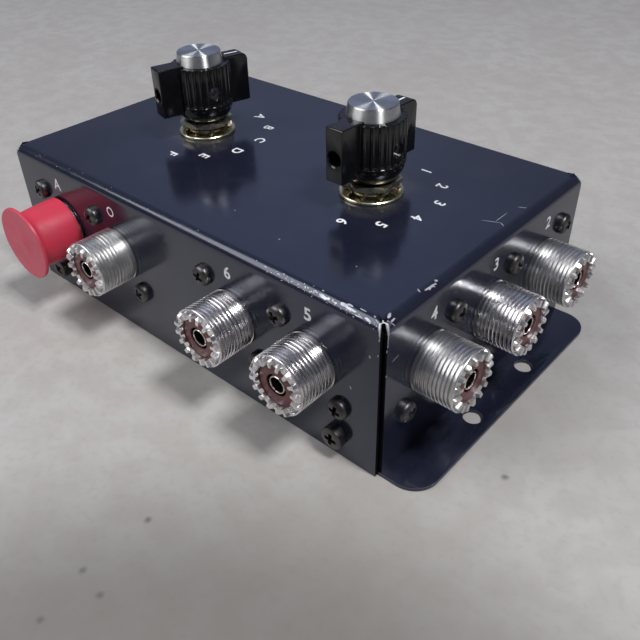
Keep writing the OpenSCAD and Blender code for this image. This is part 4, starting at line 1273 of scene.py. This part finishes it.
def glyph_mesh(text, height):
    """A letter or numeral as a thin solid, centred on the origin and facing +Z."""
    curve = bpy.data.curves.new("glyph", "FONT")
    curve.body = text
    curve.align_x = "CENTER"
    curve.extrude = 0.5
    curve.offset = 0.02
    mesh = applied(placed("temporary", curve))
    low = min(v.co.y for v in mesh.vertices)
    high = max(v.co.y for v in mesh.vertices)
    scale = height / (high - low)
    mesh.transform(Matrix.Translation((0, -(low + high) / 2, 0.5)))
    mesh.transform(Matrix.Diagonal((scale, scale, INK_T, 1)))
    return mesh


def make_marks():
    bm = bmesh.new()
    for axis, letters, shift in ((ANTENNA_AXIS, "123456", Vector((-0.4, 0.9, 0)) * MM),
                                 (TRANSMITTER_AXIS, "ABCDEF", Vector((0.3, 0, 0)) * MM)):
        for k, letter in enumerate(letters):
            out = direction(DIAL_FIRST_DEG - k * DIAL_STEP_DEG, 0)
            place = Vector((axis.x, axis.y, TOP_Z)) + DIAL_R * out + shift
            stamp(bm, glyph_mesh(letter, DIAL_MARK_H), Matrix.Translation(place) @ spin(-90))
    for label in ALL_JACKS:
        if label.endswith("common"):
            mark = band_mesh(1.05 * MM, 1.5 * MM, 0, INK_T, 40)
        else:
            mark = glyph_mesh(label.upper(), JACK_MARK_H)
        stamp(bm, mark, jack_matrix(label) @ Matrix.Translation((0, JACK_MARK_UP, 0)))
    piece("printed_marks", to_mesh(bm, "marks"), "box", "black_paint", materials=["white_ink"])


# ======================= scene =======================

def direction(azimuth, height):
    a, e = math.radians(azimuth), math.radians(height)
    return Vector((math.cos(a) * math.cos(e), math.sin(a) * math.cos(e), math.sin(e)))


def area_light(name, azimuth, height, distance, size, power):
    """Soft lamp that faces the middle of the box."""
    way = direction(azimuth, height)
    lamp = bpy.data.lights.new(name, "AREA")
    lamp.shape = "SQUARE"
    lamp.size = size
    lamp.energy = power
    thing = placed(name, lamp)
    thing.location = way * distance + Vector((0, 0, 0.03))
    thing.rotation_euler = way.to_track_quat("Z", "Y").to_euler()


def make_world():
    """Dim room with one pale wall at the back left."""
    world = bpy.data.worlds.new("room")
    bpy.context.scene.world = world
    world.use_nodes = True
    tree = world.node_tree
    tree.nodes.clear()
    place = add_node(tree, "ShaderNodeTexCoord", "Generated", {})
    facing = add_node(tree, "ShaderNodeVectorMath", "Value", {0: place, 1: direction(133, 37)},
                      operation="DOT_PRODUCT")
    colour = add_node(tree, "ShaderNodeValToRGB", "Color", {"Fac": facing})
    room, wall = colour.node.color_ramp.elements
    room.position = 0.72
    room.color = rgb(0.085, 0.09, 0.115)
    wall.position = 0.995
    wall.color = rgb(0.29, 0.33, 0.5)
    colour.node.color_ramp.elements.new(0.93).color = rgb(0.15, 0.17, 0.24)
    light = add_node(tree, "ShaderNodeBackground", "Background", {"Color": colour})
    output = tree.nodes.new("ShaderNodeOutputWorld")
    tree.links.new(light, output.inputs["Surface"])


def make_floor():
    """Pale, faintly mottled sheet floor, with a painted soft shadow and a few dark specks."""
    bm = bmesh.new()
    bmesh.ops.create_grid(bm, x_segments=2, y_segments=2, size=3)
    mesh = to_mesh(bm, "floor")
    g = Graph("floor")
    fine = g.noise(2.2 * MM, 5)
    mottle = g.noise(9 * MM, 6)
    cloud = g.noise(55 * MM, 3)
    colour = g.blend(g.rise(mottle, 0.38, 0.62), rgb(0.46, 0.44, 0.422), rgb(0.5, 0.487, 0.47))
    colour = g.blend(g.rise(cloud, 0.4, 0.65, 0, 0.4), colour, rgb(0.43, 0.405, 0.38))
    colour = g.blend(g.rise(fine, 0.48, 0.7, 0, 0.35), colour, rgb(0.4, 0.38, 0.36))
    # painted shadow: a soft dark disc in front of the box stands in for a shadow cast on the floor
    shade = g.rise(g.distance_to(PAINTED_SHADOW), PAINTED_SHADOW_R + 20 * MM, PAINTED_SHADOW_R - 34 * MM,
                   0, 0.78)
    colour = g.blend(shade, colour, rgb(0.135, 0.124, 0.112))
    for place in FLOOR_MARKS:
        near = g.calc("ADD", g.distance_to(place), g.calc("MULTIPLY", fine, 1.5 * MM))
        mark = g.rise(near, 1.4 * FLOOR_MARK_R, 0.5 * FLOOR_MARK_R, 0, 0.75)
        colour = g.blend(mark, colour, rgb(0.1, 0.095, 0.09))
    g.bump(g.noise(3 * MM, 4), 0.05 * MM)
    g.set(Base_Color=colour, Roughness=g.rise(mottle, 0, 1, 0.5, 0.62))
    mesh.materials.append(MATERIALS["floor"])
    placed("floor", mesh)


def make_camera():
    data = bpy.data.cameras.new("camera")
    data.sensor_width = 36
    data.lens = CAMERA_LENS
    data.clip_start = 0.01
    thing = placed("camera", data)
    thing.location = CAMERA_AT
    thing.rotation_euler = [math.radians(a) for a in CAMERA_TURN_DEG]
    bpy.context.scene.camera = thing


make_materials()
dress_model_nodes()
piece("folded_cover", cover_mesh(), "box", "black_paint", ["top_cover"], COVER_MATERIALS, 25)
piece("flanged_base", base_mesh(), "box", "black_paint", ["base_plate"], sharp=25)
make_chips()
make_jacks()
make_screws()
make_cap()
make_knobs()
make_hardware()
make_marks()
make_floor()
make_world()
area_light("lamp_right", -2, 60, 1.1, 0.2, 8)
area_light("lamp_left", -129, 45, 1.1, 0.8, 7)
make_camera()
bpy.context.scene.view_settings.view_transform = "Standard"
